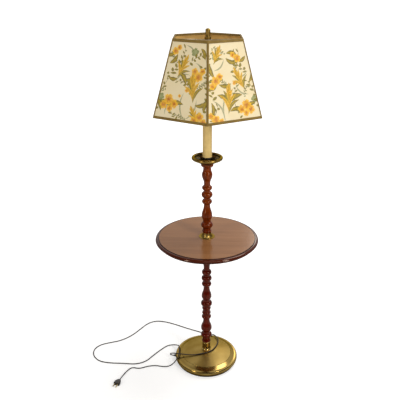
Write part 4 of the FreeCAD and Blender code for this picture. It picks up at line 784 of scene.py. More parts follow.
# ---------------------------------------------------------------- print of the shade
# Two layouts of the same motifs share the six panels in turn. Places are (across, up) from the middle
# of a panel's foot. Lengths in metres, bearings in degrees. A bend of 1 bows a stem by its own length.
PRINT_ONE = {
    # (foot, bearing, length, bend, pitch of the leaves, size of a leaf)
    "vines": (((-0.100, 0.004), 72, 0.150, 0.10, 0.019, 0.0200),
              ((0.094, 0.040), 104, 0.150, -0.10, 0.018, 0.0190),
              ((-0.066, 0.150), 62, 0.115, -0.16, 0.017, 0.0175),
              ((0.018, 0.196), 20, 0.062, 0.14, 0.016, 0.0170),
              ((-0.020, 0.014), 112, 0.074, 0.18, 0.015, 0.0150),
              ((0.030, 0.096), 150, 0.070, -0.20, 0.016, 0.0165)),
    "ferns": (((-0.030, 0.190), 128, 0.046, 0.10, 0.0085, 0.0115),
              ((0.050, 0.118), 38, 0.045, -0.12, 0.0085, 0.0115),
              ((-0.074, 0.098), 146, 0.040, 0.10, 0.0080, 0.0105),
              ((0.014, 0.008), 160, 0.044, -0.10, 0.0085, 0.0110)),
    # (foot, bearing, length, bend, width)
    "blades": (((0.012, 0.010), 96, 0.086, 0.16, 0.0026), ((0.016, 0.010), 62, 0.078, -0.18, 0.0026),
               ((-0.062, 0.016), 58, 0.064, 0.20, 0.0024), ((0.060, 0.150), 122, 0.052, -0.20, 0.0024),
               ((-0.034, 0.130), 24, 0.056, 0.20, 0.0026), ((-0.010, 0.246), -42, 0.050, 0.18, 0.0024)),
    "leaves": (((-0.050, 0.050), 8, 0.056, 0.14, 0.0080), ((-0.046, 0.048), 162, 0.044, -0.14, 0.0075),
               ((0.050, 0.060), 20, 0.044, -0.16, 0.0070), ((0.044, 0.152), 196, 0.050, 0.14, 0.0072),
               ((-0.028, 0.140), 176, 0.036, 0.16, 0.0065), ((0.066, 0.204), 118, 0.040, -0.12, 0.0064),
               ((-0.086, 0.214), 12, 0.040, -0.14, 0.0066), ((0.084, 0.040), 64, 0.052, 0.16, 0.0085),
               ((-0.080, 0.030), 118, 0.048, -0.12, 0.0080), ((0.010, 0.120), 34, 0.050, 0.14, 0.0085),
               ((0.006, 0.122), 128, 0.046, -0.14, 0.0080), ((-0.066, 0.186), 48, 0.042, -0.16, 0.0075)),
    # (foot, bearing, size)
    "plumes": (((0.040, 0.066), 98, 0.092), ((-0.030, 0.142), 66, 0.078), ((0.064, 0.004), 120, 0.058)),
    # (heart, radius, turn)
    "flowers": (((-0.052, 0.070), 0.0190, 10), ((-0.030, 0.056), 0.0160, 70), ((-0.070, 0.050), 0.0150, 40),
                ((-0.046, 0.040), 0.0125, 5), ((0.050, 0.150), 0.0175, 30), ((0.034, 0.166), 0.0130, 64),
                ((0.062, 0.168), 0.0120, 12), ((0.072, 0.024), 0.0170, 50), ((0.052, 0.012), 0.0135, 20),
                ((0.088, 0.010), 0.0130, 80), ((-0.048, 0.226), 0.0135, 36), ((-0.034, 0.238), 0.0100, 8),
                ((0.012, 0.104), 0.0075, 22), ((-0.012, 0.084), 0.0060, 50)),
    "patches": (((-0.084, 0.076), 0.0130, 15), ((0.026, 0.226), 0.0145, 60)),
}
PRINT_TWO = {
    "vines": (((0.100, 0.002), 108, 0.140, -0.12, 0.019, 0.0200),
              ((-0.074, 0.088), 84, 0.150, 0.10, 0.018, 0.0185),
              ((0.020, 0.020), 86, 0.110, 0.16, 0.017, 0.0180),
              ((0.066, 0.160), 122, 0.090, 0.18, 0.017, 0.0170),
              ((-0.104, 0.010), 52, 0.076, -0.14, 0.016, 0.0165),
              ((0.006, 0.168), 66, 0.080, -0.18, 0.016, 0.0165)),
    "ferns": (((0.046, 0.084), 52, 0.044, 0.12, 0.0085, 0.0115),
              ((-0.018, 0.118), 140, 0.048, -0.10, 0.0085, 0.0115),
              ((-0.052, 0.240), -30, 0.046, 0.10, 0.0085, 0.0110),
              ((0.078, 0.052), 152, 0.040, 0.12, 0.0080, 0.0105)),
    "blades": (((-0.040, 0.008), 118, 0.080, -0.18, 0.0026), ((-0.036, 0.008), 78, 0.090, 0.14, 0.0026),
               ((0.064, 0.086), 142, 0.060, 0.20, 0.0025), ((0.020, 0.150), 14, 0.050, -0.20, 0.0024),
               ((0.010, 0.062), 168, 0.052, -0.18, 0.0024), ((-0.060, 0.170), 40, 0.056, -0.18, 0.0025)),
    "leaves": (((0.040, 0.034), 176, 0.056, -0.14, 0.0080), ((0.046, 0.036), 28, 0.046, 0.14, 0.0075),
               ((-0.052, 0.128), 200, 0.040, 0.14, 0.0066), ((-0.046, 0.126), 0, 0.046, -0.16, 0.0070),
               ((0.030, 0.190), 156, 0.044, 0.14, 0.0068), ((0.038, 0.192), 34, 0.032, -0.12, 0.0060),
               ((-0.086, 0.026), 84, 0.046, -0.16, 0.0070), ((-0.012, 0.066), 22, 0.054, 0.16, 0.0088),
               ((-0.018, 0.064), 142, 0.048, -0.14, 0.0080), ((0.070, 0.126), 66, 0.048, -0.14, 0.0080),
               ((-0.060, 0.150), 104, 0.046, 0.14, 0.0078), ((0.034, 0.214), 168, 0.040, -0.12, 0.0070)),
    "plumes": (((-0.022, 0.030), 82, 0.094), ((0.050, 0.100), 114, 0.080), ((-0.058, 0.190), 60, 0.064)),
    "flowers": (((0.050, 0.052), 0.0190, 0), ((0.030, 0.040), 0.0150, 44), ((0.066, 0.036), 0.0155, 20),
                ((0.046, 0.026), 0.0120, 66), ((-0.056, 0.138), 0.0170, 24), ((-0.040, 0.150), 0.0130, 60),
                ((-0.070, 0.122), 0.0125, 6), ((-0.072, 0.016), 0.0165, 32), ((-0.090, 0.030), 0.0120, 70),
                ((-0.052, 0.008), 0.0120, 12), ((0.034, 0.204), 0.0140, 50), ((0.018, 0.216), 0.0105, 18),
                ((0.012, 0.126), 0.0070, 40), ((-0.008, 0.098), 0.0060, 8)),
    "patches": (((0.084, 0.068), 0.0135, 40), ((-0.046, 0.214), 0.0145, 5)),
}
# (layer, colour at its edge, colour along its middle), from the lowest to the highest
PRINT_INKS = (
    ("stems", (0.20, 0.15, 0.05), (0.22, 0.17, 0.06)),
    ("ferns", (0.20, 0.21, 0.07), (0.24, 0.23, 0.08)),
    ("blades", (0.24, 0.23, 0.10), (0.42, 0.40, 0.24)),
    ("patches", (0.19, 0.22, 0.06), (0.34, 0.35, 0.15)),
    ("vines", (0.105, 0.088, 0.002), (0.28, 0.215, 0.008)),
    ("leaves", (0.085, 0.068, 0.002), (0.40, 0.275, 0.008)),
    ("plumes", (0.88, 0.54, 0.045), (0.50, 0.26, 0.008)),
    ("flowers", (0.88, 0.51, 0.025), (0.50, 0.13, 0.004)),
)
VINE_LEAF_ANGLE = math.radians(52)
STEM_BULGE = 4.0             # turns a share along a stem and the share left into a bow of height 1
PLUME_LEAVES = 8
PLUME_TURN = math.radians(40)


class PrintGroup(NodeSketch):
    """A node group that draws one printed form: 0 outside it, rising to 1 along its middle."""

    def __init__(self, name, *numbers):
        super().__init__(bpy.data.node_groups.new(name, "ShaderNodeTree"))
        for socket in ("Place", "Foot"):
            self.tree.interface.new_socket(name=socket, in_out="INPUT", socket_type="NodeSocketVector")
        for socket in numbers:
            self.tree.interface.new_socket(name=socket, in_out="INPUT", socket_type="NodeSocketFloat")
        self.tree.interface.new_socket(name="Height", in_out="OUTPUT", socket_type="NodeSocketFloat")
        self.given = self.add("NodeGroupInput").outputs

    def from_foot(self):
        """Places from the foot, along the bearing and across it, and the share along a bowed stem."""
        turn = self.add("ShaderNodeVectorRotate", rotation_type="Z_AXIS")
        offset = self.vector_math("SUBTRACT", self.given["Place"], self.given["Foot"])
        self.feed(turn.inputs["Vector"], offset)
        self.feed(turn.inputs["Angle"], self.math("MULTIPLY", self.given["Bearing"], -1.0))
        x, y, _ = self.split(turn.outputs[0])
        share = self.math("MAXIMUM", self.math("DIVIDE", x, self.given["Length"]), 0.0)
        share = self.math("MINIMUM", share, 1.0)
        left = self.math("SUBTRACT", 1.0, share)
        bow = self.math("MULTIPLY", self.math("MULTIPLY", share, left), STEM_BULGE)
        middle = self.math("MULTIPLY", bow, self.math("MULTIPLY", self.given["Bend"], self.given["Length"]))
        return x, self.math("SUBTRACT", y, middle), share

    def blade(self, share, aside, width):
        """Height of a pointed blade, from the share along it and the distance from its middle."""
        belly = self.math("POWER", self.math("SINE", self.math("MULTIPLY", share, math.pi)), 0.8)
        reach = self.math("DIVIDE", aside, self.math("MULTIPLY_ADD", belly, width, 1e-6))
        return self.rising(reach, 0.3)

    def rising(self, reach, edge):
        """Height that is the edge's at a reach of 1 and 1 in the middle, and 0 beyond."""
        height = self.math("MULTIPLY_ADD", self.math("SUBTRACT", 1.0, reach), 1.0 - edge, edge)
        return self.math("MULTIPLY", height, self.math("LESS_THAN", reach, 1.0))

    def close(self, height):
        end = self.add("NodeGroupOutput")
        self.feed(end.inputs[0], height)
        return self.tree


def flower_shape():
    """One five-petalled flower with ruffled edges."""
    g = PrintGroup("printed flower", "Radius", "Turn")
    spoke = g.vector_math("SUBTRACT", g.given["Place"], g.given["Foot"])
    x, y, _ = g.split(spoke)
    angle = g.math("ADD", g.math("ARCTAN2", y, x), g.given["Turn"])
    lobes = g.math("ABSOLUTE", g.math("COSINE", g.math("MULTIPLY", angle, 2.5)))
    ruffle = g.math("MULTIPLY", g.math("SINE", g.math("MULTIPLY", angle, 15.0)), 0.06)
    edge = g.math("ADD", g.math("MULTIPLY_ADD", g.math("POWER", lobes, 0.5), 0.34, 0.62), ruffle)
    reach = g.math("DIVIDE", g.vector_math("LENGTH", spoke), g.math("MULTIPLY", edge, g.given["Radius"]))
    seams = g.math("MULTIPLY", g.math("POWER", g.math("SUBTRACT", 1.0, lobes), 4.0), 0.35)
    height = g.rising(reach, 0.15)
    return g.close(g.math("MULTIPLY", g.math("ADD", height, seams), g.math("LESS_THAN", reach, 1.0)))


def leaf_shape():
    """One bowed leaf, blade or stem."""
    g = PrintGroup("printed leaf", "Bearing", "Length", "Width", "Bend")
    _, aside, share = g.from_foot()
    return g.close(g.blade(share, g.math("ABSOLUTE", aside), g.given["Width"]))


def vine_shape():
    """Small leaves by turns on both sides of a bowed stem, of uneven size and with gaps."""
    g = PrintGroup("printed vine", "Bearing", "Length", "Pitch", "Leaf", "Bend")
    along, aside, share = g.from_foot()
    side = g.math("LESS_THAN", aside, 0.0)
    step = g.math("MULTIPLY_ADD", side, 0.5, g.math("DIVIDE", along, g.given["Pitch"]))
    cell = g.math("FLOOR", step)
    chance = g.add("ShaderNodeTexWhiteNoise", noise_dimensions="1D")
    g.feed(chance.inputs["W"], g.math("ADD", g.math("MULTIPLY_ADD", side, 31.3, cell), g.given["Bearing"]))
    size = g.math("MULTIPLY", g.math("MULTIPLY_ADD", chance.outputs[0], 0.5, 0.65), g.given["Leaf"])
    size = g.math("MULTIPLY", size, g.math("MULTIPLY_ADD", share, -0.35, 1.0))
    from_cell = g.math("MULTIPLY", g.math("SUBTRACT", step, cell), g.given["Pitch"])
    aside = g.math("ABSOLUTE", aside)
    lean, spread = math.cos(VINE_LEAF_ANGLE), math.sin(VINE_LEAF_ANGLE)
    up_leaf = g.math("ADD", g.math("MULTIPLY", from_cell, lean), g.math("MULTIPLY", aside, spread))
    off_leaf = g.math("SUBTRACT", g.math("MULTIPLY", aside, lean), g.math("MULTIPLY", from_cell, spread))
    leaf_share = g.math("MINIMUM", g.math("DIVIDE", up_leaf, size), 1.0)
    height = g.blade(leaf_share, g.math("ABSOLUTE", off_leaf), g.math("MULTIPLY", size, 0.24))
    on_stem = g.math("MULTIPLY", g.math("GREATER_THAN", cell, -0.5),
                     g.math("LESS_THAN", g.math("MULTIPLY", cell, g.given["Pitch"]), g.given["Length"]))
    kept = g.math("MULTIPLY", on_stem, g.math("GREATER_THAN", chance.outputs[0], 0.12))
    return g.close(g.math("MULTIPLY", height, kept))


def floral_print(f, colours, layout):
    """Cream cloth printed with sprays: gold flowers and plumes, olive and grey-green leaves, thin vines."""
    sizes = bpy.context.scene.lamp_shade
    flower, leaf, vine = flower_shape(), leaf_shape(), vine_shape()
    uv = f.add("ShaderNodeUVMap", uv_map="UVMap").outputs[0]
    wobble = f.add("ShaderNodeTexNoise")
    f.feed(wobble.inputs["Vector"], uv)
    wobble.inputs["Scale"].default_value = 95.0
    shift = f.vector_math("SUBTRACT", wobble.outputs["Color"], (0.5, 0.5, 0.5))
    shift = f.vector_math("MULTIPLY", shift, (2 * sizes.hand_wobble, 2 * sizes.hand_wobble, 0))
    place = f.vector_math("ADD", uv, shift)
    layers = {layer: 0.0 for layer, *_ in PRINT_INKS}

    def lay(layer, shape, foot, *numbers):
        height = f.group(shape, place, (*foot, 0.0), *numbers)
        layers[layer] = f.math("MAXIMUM", layers[layer], height)

    for layer in ("vines", "ferns"):
        for foot, bearing, length, bend, pitch, size in layout[layer]:
            bearing = math.radians(bearing)
            lay("stems", leaf, foot, bearing, length, sizes.stem_width, bend)
            lay(layer, vine, foot, bearing, length, pitch, size, bend)
    for layer in ("blades", "leaves"):
        for foot, bearing, length, bend, width in layout[layer]:
            lay(layer, leaf, foot, math.radians(bearing), length, width, bend)
    for foot, bearing, size in layout["plumes"]:
        axis = Vector((math.cos(math.radians(bearing)), math.sin(math.radians(bearing))))
        for index in range(PLUME_LEAVES):
            share = index / (PLUME_LEAVES - 1)
            turn = PLUME_TURN * (1 - share) * (1 if index % 2 else -1)
            start = Vector(foot) + axis * size * 0.62 * share
            lay("plumes" if index % 3 else "leaves", leaf, start, math.radians(bearing) + turn,
                size * (0.66 - 0.20 * share), size * 0.060, -0.25 * turn)
    for layer in ("flowers", "patches"):
        for heart, radius, turn in layout[layer]:
            lay(layer, flower, heart, radius, math.radians(turn))
    mottle = f.noise(uv, 150.0, 4.0, 0.65)
    weave = f.noise(uv, 1400.0, 2.0, 0.5)
    warmer = tuple(channel * drop for channel, drop in zip(colours.ground, (0.98, 0.94, 0.86)))
    tone = f.mix(f.remap(f.noise(uv, 14.0, 2.0), 0.35, 0.65, 0.0, 1.0), warmer, colours.ground)
    uneven = f.math("MULTIPLY_ADD", mottle, 1.6, -0.8)
    for layer, edge, middle in PRINT_INKS:
        height = layers[layer]
        ink = f.mix(f.remap(f.math("ADD", height, uneven), 0.25, 0.95, 0.0, 1.0), edge, middle)
        tone = f.mix(f.math("MULTIPLY", f.math("GREATER_THAN", height, 0.02), 0.94), tone, ink)
    return f.set(Base_Color=tone, Roughness=0.68, Sheen_Weight=0.08,
                 Normal=f.bump(f.math("ADD", weave, mottle), 0.00012, 0.35))


FINISH_MAKERS = {
    "aged_brass": aged_brass,
    "bright_brass": bright_brass,
    "bronzed_cup": bronzed_cup,
    "pan_brass": pan_brass,
    "turned_wood": turned_wood,
    "table_wood": table_wood,
    "black_enamel": black_enamel,
    "candle_cream": candle_cream,
    "nickel": nickel,
    "zinc_steel": zinc_steel,
    "cast_iron": cast_iron,
    "green_felt": green_felt,
    "insulating_card": insulating_card,
    "black_moulding": black_moulding,
    "frosted_glass": frosted_glass,
    "aluminium": aluminium,
    "shade_lining": shade_lining,
    "olive_tape": olive_tape,
    "frame_wire": frame_wire,
    "lead_cover": lead_cover,
    "blade_brass": blade_brass,
    "floral_print_one": lambda f, colours: floral_print(f, colours, PRINT_ONE),
    "floral_print_two": lambda f, colours: floral_print(f, colours, PRINT_TWO),
}


# ================================================================ stage
class LampStage(bpy.types.Operator):
    """Sets up the white floor, the soft lights and the camera of the photograph"""

    bl_idname = "lamp.stage"
    bl_label = "Stage"

    def execute(self, context):
        scene = context.scene
        scene.view_settings.view_transform = "Standard"
        self.make_floor(scene)
        self.make_world(scene)
        for light in STUDIO_LIGHTS:
            self.make_light(*light)
        camera = bpy.data.objects.new("camera", bpy.data.cameras.new("camera"))
        scene.collection.objects.link(camera)
        camera.location = CAMERA_PLACE
        camera.rotation_euler = (CAMERA_TILT, 0.0, CAMERA_TURN)
        camera.data.sensor_width = SENSOR_WIDTH
        camera.data.lens = FOCAL_PIXELS / PHOTO_SIZE * SENSOR_WIDTH
        scene.camera = camera
        return {"FINISHED"}

    def seen(self, sketch, in_mirrors):
        """1 for rays from the camera and through glass, and a share of it for those that gloss sends on."""
        rays = sketch.add("ShaderNodeLightPath").outputs
        mirrored = sketch.math("MULTIPLY", rays["Is Glossy Ray"], in_mirrors)
        return sketch.math("MAXIMUM", sketch.math("MAXIMUM", rays["Is Camera Ray"], mirrored),
                           rays["Is Transmission Ray"])

    def make_floor(self, scene):
        mesh = bpy.data.meshes.new("floor")
        bm = bmesh.new()
        bmesh.ops.create_grid(bm, x_segments=1, y_segments=1, size=FLOOR_REACH)
        bm.to_mesh(mesh)
        bm.free()
        floor = bpy.data.objects.new("floor", mesh)
        scene.collection.objects.link(floor)
        floor.location.z = -FLOOR_DROP
        f = Finish("white floor")
        near = f.remap(f.vector_math("LENGTH", f.objectspace()), 0.3, 2.0, 0.50, 1.0)
        f.set(Base_Color=(FLOOR_GREY,) * 3, Roughness=0.9, Specular_IOR_Level=0.1,
              Emission_Color=(1.0, 1.0, 1.0),
              Emission_Strength=f.math("MULTIPLY", near, self.seen(f, FLOOR_IN_GLOSS)))
        mesh.materials.append(f.material)

    def make_world(self, scene):
        world = bpy.data.worlds.new("studio")
        scene.world = world
        world.use_nodes = True
        w = NodeSketch(world.node_tree)
        world.node_tree.nodes.clear()
        light, output = w.add("ShaderNodeBackground"), w.add("ShaderNodeOutputWorld")
        light.inputs["Color"].default_value = (1.0, 1.0, 1.0, 1.0)
        rays = w.add("ShaderNodeLightPath").outputs
        side, back, up = w.split(w.add("ShaderNodeTexCoord").outputs["Generated"])
        sweep = w.math("MULTIPLY", w.remap(back, -0.1, 0.4, 0.0, 1.0), w.remap(up, -0.1, 0.4, 0.3, 1.0))
        sweep = w.math("MULTIPLY", sweep, w.remap(w.math("ABSOLUTE", side), 0.25, 0.85, 1.0, 0.40))
        mirrored = w.math("MULTIPLY_ADD", sweep, 1.0 - ROOM_IN_GLOSS, ROOM_IN_GLOSS)
        brighter = w.math("SUBTRACT", mirrored, ROOM_LIGHT)
        lighting = w.math("MULTIPLY_ADD", rays["Is Glossy Ray"], brighter, ROOM_LIGHT)
        shown = w.math("MAXIMUM", rays["Is Camera Ray"], rays["Is Transmission Ray"])
        w.feed(light.inputs["Strength"], w.math("MAXIMUM", lighting, shown))
        w.feed(output.inputs["Surface"], light.outputs[0])

    def make_light(self, name, place, target, size, power, tint):
        data = bpy.data.lights.new(name, "AREA")
        data.shape = "RECTANGLE"
        data.size, data.size_y = size
        data.energy = power
        data.color = tint
        light = bpy.data.objects.new(name, data)
        light.location = place
        light.rotation_euler = (Vector(target) - Vector(place)).to_track_quat("-Z", "Y").to_euler()
        light.visible_camera = False
        bpy.context.scene.collection.objects.link(light)


# ================================================================ lead, bushing and plug
class LampLead(bpy.types.Operator):
    """Lays the mains lead over the base and the floor, with its bushing and its plug"""

    bl_idname = "lamp.lead"
    bl_label = "Mains lead"

    def execute(self, context):
        curve = bpy.data.curves.new("mains lead", "CURVE")
        curve.dimensions = "3D"
        spline = curve.splines.new("NURBS")
        spline.points.add(len(LEAD_ROUTE) - 1)
        for point, place in zip(spline.points, LEAD_ROUTE):
            point.co = (*place, 1.0)
        spline.order_u = 3
        spline.use_endpoint_u = True
        spline.resolution_u = 8
        curve.bevel_depth = LEAD_RADIUS
        curve.bevel_resolution = 4
        curve.use_fill_caps = True
        curve.materials.append(finish("lead_cover"))
        lead = bpy.data.objects.new("mains_lead", curve)
        context.scene.collection.objects.link(lead)
        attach(lead, "lamp")
        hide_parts("cord")
        bushing, plug, blades = self.make_bushing(), self.make_plug(), self.make_blades()
        paint("lamp_wire", finish("lead_cover"))
        return {"FINISHED"}

    def make_bushing(self):
        """Tapered and ribbed strain relief with a flange on the rim."""
        inner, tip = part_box("cord_bushing")[1].x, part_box("cord_bushing")[0].x
        flange = -context_sizes("lamp_brass").rim - BUSHING_GAP
        outline = Outline(LEAD_RADIUS, -inner).out(BUSHING_RADIUS).line(BUSHING_RADIUS, -flange)
        outline.out(FLANGE_EDGE).bead(FLANGE_RADIUS, FLANGE_THICKNESS).out(RIB_RADIUS)
        pitch = (-tip + flange - FLANGE_THICKNESS) / RIBS
        for rib in range(RIBS):
            radius = RIB_RADIUS - RIB_TAPER * (rib + 1) / RIBS
            outline.up(pitch * RIB_SHARE).out(radius - RIB_DEPTH).up(pitch * (1 - RIB_SHARE))
            if rib < RIBS - 1:
                outline.out(radius)
        outline.out(LEAD_RADIUS)
        bm = turned(outline)
        place = Matrix.Translation((0, 0, EXIT_HEIGHT)) @ Matrix.Rotation(math.radians(-90), 4, "Y")
        bmesh.ops.transform(bm, matrix=place, verts=bm.verts[:])
        return new_piece("lead_bushing", bm, "lamp", "cord_bushing",
                         finish("black_moulding"))

    def plug_place(self):
        """Turns and moves a piece drawn along +X from the origin to the lead's end."""
        end, before = Vector(LEAD_ROUTE[-1]), Vector(LEAD_ROUTE[-2])
        way = end - before
        return Matrix.Translation(end) @ Matrix.Rotation(math.atan2(way.y, way.x), 4, "Z")

    def make_plug(self):
        """Moulded body that widens from the lead, rounded along its sides and round its tail."""
        start, tail_width, tail_height = PLUG_SECTIONS[0]
        bm = bmesh.new()
        loop = [bm.verts.new((start, a * tail_width / 2, b * tail_height / 2))
                for a, b in ((-1, -1), (1, -1), (1, 1), (-1, 1))]
        face = bm.faces.new(loop)
        for x, width, height in PLUG_SECTIONS[1:]:
            made = bmesh.ops.extrude_face_region(bm, geom=[face])
            verts = [item for item in made["geom"] if isinstance(item, bmesh.types.BMVert)]
            face = next(item for item in made["geom"] if isinstance(item, bmesh.types.BMFace))
            for vert in verts:
                vert.co = (x, math.copysign(width / 2, vert.co.y), math.copysign(height / 2, vert.co.z))
        bmesh.ops.recalc_face_normals(bm, faces=bm.faces[:])
        long_edges = [edge for edge in bm.edges
                      if abs(edge.verts[0].co.x - edge.verts[1].co.x) > SAME_PLACE]
        tail = [edge for edge in bm.edges if edge not in long_edges and edge.verts[0].co.x == start]
        bmesh.ops.bevel(bm, geom=long_edges + tail, offset=ROUNDING, offset_type="OFFSET", segments=3,
                        profile=0.5, affect="EDGES", material=-1)
        bmesh.ops.transform(bm, matrix=self.plug_place(), verts=bm.verts[:])
        return new_piece("plug_moulding", bm, "lamp", "plug_body", finish("black_moulding"), 50)

    def make_blades(self):
        """Two flat blades with rounded tips."""
        bm = bmesh.new()
        for side in (-1, 1):
            size = Matrix.Diagonal((*BLADE_SIZE, 1.0))
            place = Matrix.Translation((BLADE_START + BLADE_SIZE[0] / 2, side * BLADE_ASIDE, 0.0))
            made = bmesh.ops.create_cube(bm, size=1.0, matrix=place @ size)
            tips = [edge for vert in made["verts"] for edge in vert.link_edges
                    if all(end.co.x > BLADE_TIP for end in edge.verts)
                    and abs(edge.verts[0].co.y - edge.verts[1].co.y) > SAME_PLACE]
            bmesh.ops.bevel(bm, geom=list(set(tips)), offset=ROUNDING, offset_type="OFFSET", segments=4,
                            profile=0.5, affect="EDGES", material=-1)
        bmesh.ops.transform(bm, matrix=self.plug_place(), verts=bm.verts[:])
        return new_piece("plug_contacts", bm, "lamp", "plug_blades", finish("blade_brass"))


# ================================================================ base
class LampBase(bpy.types.Operator):
    """Builds the spun base, its weight and felt, and the brass neck"""

    bl_idname = "lamp.base"
    bl_label = "Base"

    def execute(self, context):
        brass = context.scene.lamp_brass
        top = bottom_of("base_neck")
        shell = Outline(ROD_HOLE, top).out(brass.crown)
        shell.arc(brass.dome, brass.dome_height, -brass.dome_swell)
        shell.line(brass.dome + STEP_LEAN / 2, brass.dome_height - STEP_EASE)
        shell.line(brass.dome + STEP_LEAN, brass.dome_height - brass.step)
        shell.arc(brass.cove, brass.cove_height, brass.cove_hollow)
        roll = brass.rim - (brass.cove + brass.rim_foot) / 2
        shell.arc(brass.rim_foot, brass.rim_foot_height, -roll)
        shell.line(brass.rim_foot, THIN_WALL).out(brass.rim_foot - THIN_WALL)
        shell.line(brass.rim_foot - THIN_WALL, brass.cove_height - THIN_WALL)
        shell.line(brass.dome - THIN_WALL, brass.dome_height - THIN_WALL)
        shell.line(brass.crown, top - THIN_WALL).out(ROD_HOLE)
        new_piece("spun_base", turned(shell), "lamp", "base_shell", finish("aged_brass"))
        neck = Outline(ROD_HOLE, top).out(brass.neck_foot - EASE).line(brass.neck_foot, top + EASE)
        neck.line(brass.neck_foot, top + brass.neck_foot_height - EASE)
        neck.line(brass.neck_foot - EASE, top + brass.neck_foot_height)
        neck.arc(brass.neck, top + brass.neck_foot_height + brass.neck_flare, -NECK_HOLLOW)
        neck.line(brass.neck, top_of("base_neck") - brass.neck_lip_height)
        neck.bead(brass.neck_lip, brass.neck_lip_height).out(ROD_HOLE)
        new_piece("brass_neck", turned(neck), "lamp", "base_neck", finish("bright_brass"))
        pad_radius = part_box("felt_pad")[1].x
        pad_top = top_of("felt_pad")
        pad = Outline(0.0, 0.0).out(pad_radius - EASE).line(pad_radius, EASE)
        pad.line(pad_radius, pad_top - EASE).line(pad_radius - EASE, pad_top).out(0.0)
        new_piece("felt_disc", turned(pad, closed=False), "lamp", "felt_pad", finish("green_felt"))
        paint("base_weight", finish("cast_iron"))
        for node in ("centre_rod", "foot_washer", "foot_nut"):
            paint(node, finish("zinc_steel"))
        return {"FINISHED"}


# ================================================================ columns
class LampColumns(bpy.types.Operator):
    """Turns the lower and the upper column"""

    bl_idname = "lamp.columns"
    bl_label = "Turned columns"

    def execute(self, context):
        wood = context.scene.lamp_turning
        new_piece("lower_turning", turned(self.lower(wood)), "lamp", "lower_column",
                  finish("turned_wood"), 40)
        new_piece("upper_turning", turned(self.upper(wood)), "lamp", "upper_column",
                  finish("turned_wood"), 40)
        return {"FINISHED"}

    def lower(self, wood):
        """Foot ring, bead, vase, small beads, broad bead, vase, three beads, vase and capital."""
        outline = Outline(ROD_HOLE, bottom_of("lower_column")).out(wood.wide_neck)
        outline.bead(wood.foot_ring, wood.foot_ring_height).up(wood.drum)
        outline.bead(wood.broad_bead, wood.bead_height).up(wood.fillet)
        outline.swell(wood.lower_vase, wood.lower_vase_shoulder)
        outline.swell(wood.bead_neck, wood.lower_vase_taper)
        outline.up(wood.throat).bead(wood.bead, wood.low_bead_height)
        outline.out(wood.wide_neck).up(wood.fillet).bead(wood.small_bead, wood.small_bead_height)
        outline.up(wood.waist).bead(wood.small_bead, wood.small_bead_height).up(wood.fillet)
        outline.bead(wood.broad_bead, wood.broad_bead_height).up(wood.fillet)
        outline.swell(wood.middle_vase, wood.middle_vase_shoulder)
        outline.swell(wood.narrow_neck, wood.middle_vase_taper)
        outline.up(wood.throat).out(wood.bead_neck)
        outline.bead(wood.bead, wood.bead_height).up(wood.fillet)
        outline.bead(wood.middle_bead, wood.middle_bead_height).up(wood.fillet)
        outline.bead(wood.bead, wood.top_bead_height)
        outline.out(wood.narrow_neck).up(wood.throat)
        capital = wood.fillet + wood.bead_height + wood.capital_flare + wood.capital_band
        taper = top_of("lower_column") - capital - wood.top_vase_shoulder - outline.end[1]
        outline.swell(wood.top_vase, taper).swell(wood.wide_neck, wood.top_vase_shoulder)
        outline.up(wood.fillet).bead(wood.broad_bead, wood.bead_height)
        return outline.swell(wood.capital, wood.capital_flare).up(wood.capital_band).out(ROD_HOLE)

    def upper(self, wood):
        """Foot ring, broad bead, vase, bead, ball, bead, vase and capital."""
        outline = Outline(ROD_HOLE, bottom_of("upper_column")).out(wood.wide_neck).up(wood.upper_foot)
        outline.bead(wood.foot_ring, wood.foot_ring_height).up(wood.upper_drum)
        outline.bead(wood.broad_bead, wood.broad_bead_height).up(wood.fillet)
        outline.swell(wood.upper_vase, wood.upper_vase_shoulder)
        outline.swell(wood.narrow_neck, wood.upper_vase_taper)
        outline.up(wood.fillet).bead(wood.bead, wood.bead_height)
        outline.up(wood.fillet).bead(wood.ball, wood.ball_height)
        outline.up(wood.fillet).bead(wood.bead, wood.bead_height)
        outline.up(wood.throat)
        capital = wood.fillet + wood.top_capital_flare + wood.top_capital_band
        taper = top_of("upper_column") - capital - wood.high_vase_shoulder - outline.end[1]
        outline.swell(wood.high_vase, taper).swell(wood.wide_neck, wood.high_vase_shoulder)
        outline.up(wood.fillet).swell(wood.top_capital, wood.top_capital_flare)
        return outline.up(wood.top_capital_band).out(ROD_HOLE)


# ================================================================ table
class LampTableTop(bpy.types.Operator):
    """Builds the round table with its moulded edge and the brass collar on it"""

    bl_idname = "lamp.table_top"
    bl_label = "Table"

    def execute(self, context):
        table, brass = context.scene.lamp_table, context.scene.lamp_brass
        under, top = bottom_of("table_top"), top_of("table_top")
        edge = Outline(ROD_HOLE, under).out(table.undercut)
        edge.arc(table.tuck, under + table.bead_height, table.bead_swell)
        edge.arc(table.radius, top - table.step - table.nose, -table.tuck_hollow)
        edge.arc(table.field + table.quirk, top - table.step, table.nose_swell)
        edge.up(-table.quirk_depth).out(table.field).line(table.field, top - FIELD_EASE_DROP)
        edge.line(table.field - FIELD_EASE_WIDTH, top).out(table.recess)
        edge.line(table.recess, bottom_of("table_collar")).out(ROD_HOLE)
        new_piece("table_board", turned(edge), "lamp", "table_top", finish("table_wood"))
        foot = bottom_of("table_collar")
        collar = Outline(ROD_HOLE, foot).out(brass.collar_flange)
        collar.bead(brass.collar_flange + brass.collar_flange_height / 2, brass.collar_flange_height)
        collar.out(brass.collar_bell)
        collar.arc(brass.collar_top, top_of("table_collar"), -COLLAR_HOLLOW).out(ROD_HOLE)
        new_piece("brass_collar", turned(collar), "lamp", "table_collar", finish("aged_brass"))
        smooth_copy("plate_under_table", "table_plate", "lamp", finish("zinc_steel"))
        smooth_copy("plate_screws", "table_screws", "lamp", finish("zinc_steel"))
        return {"FINISHED"}


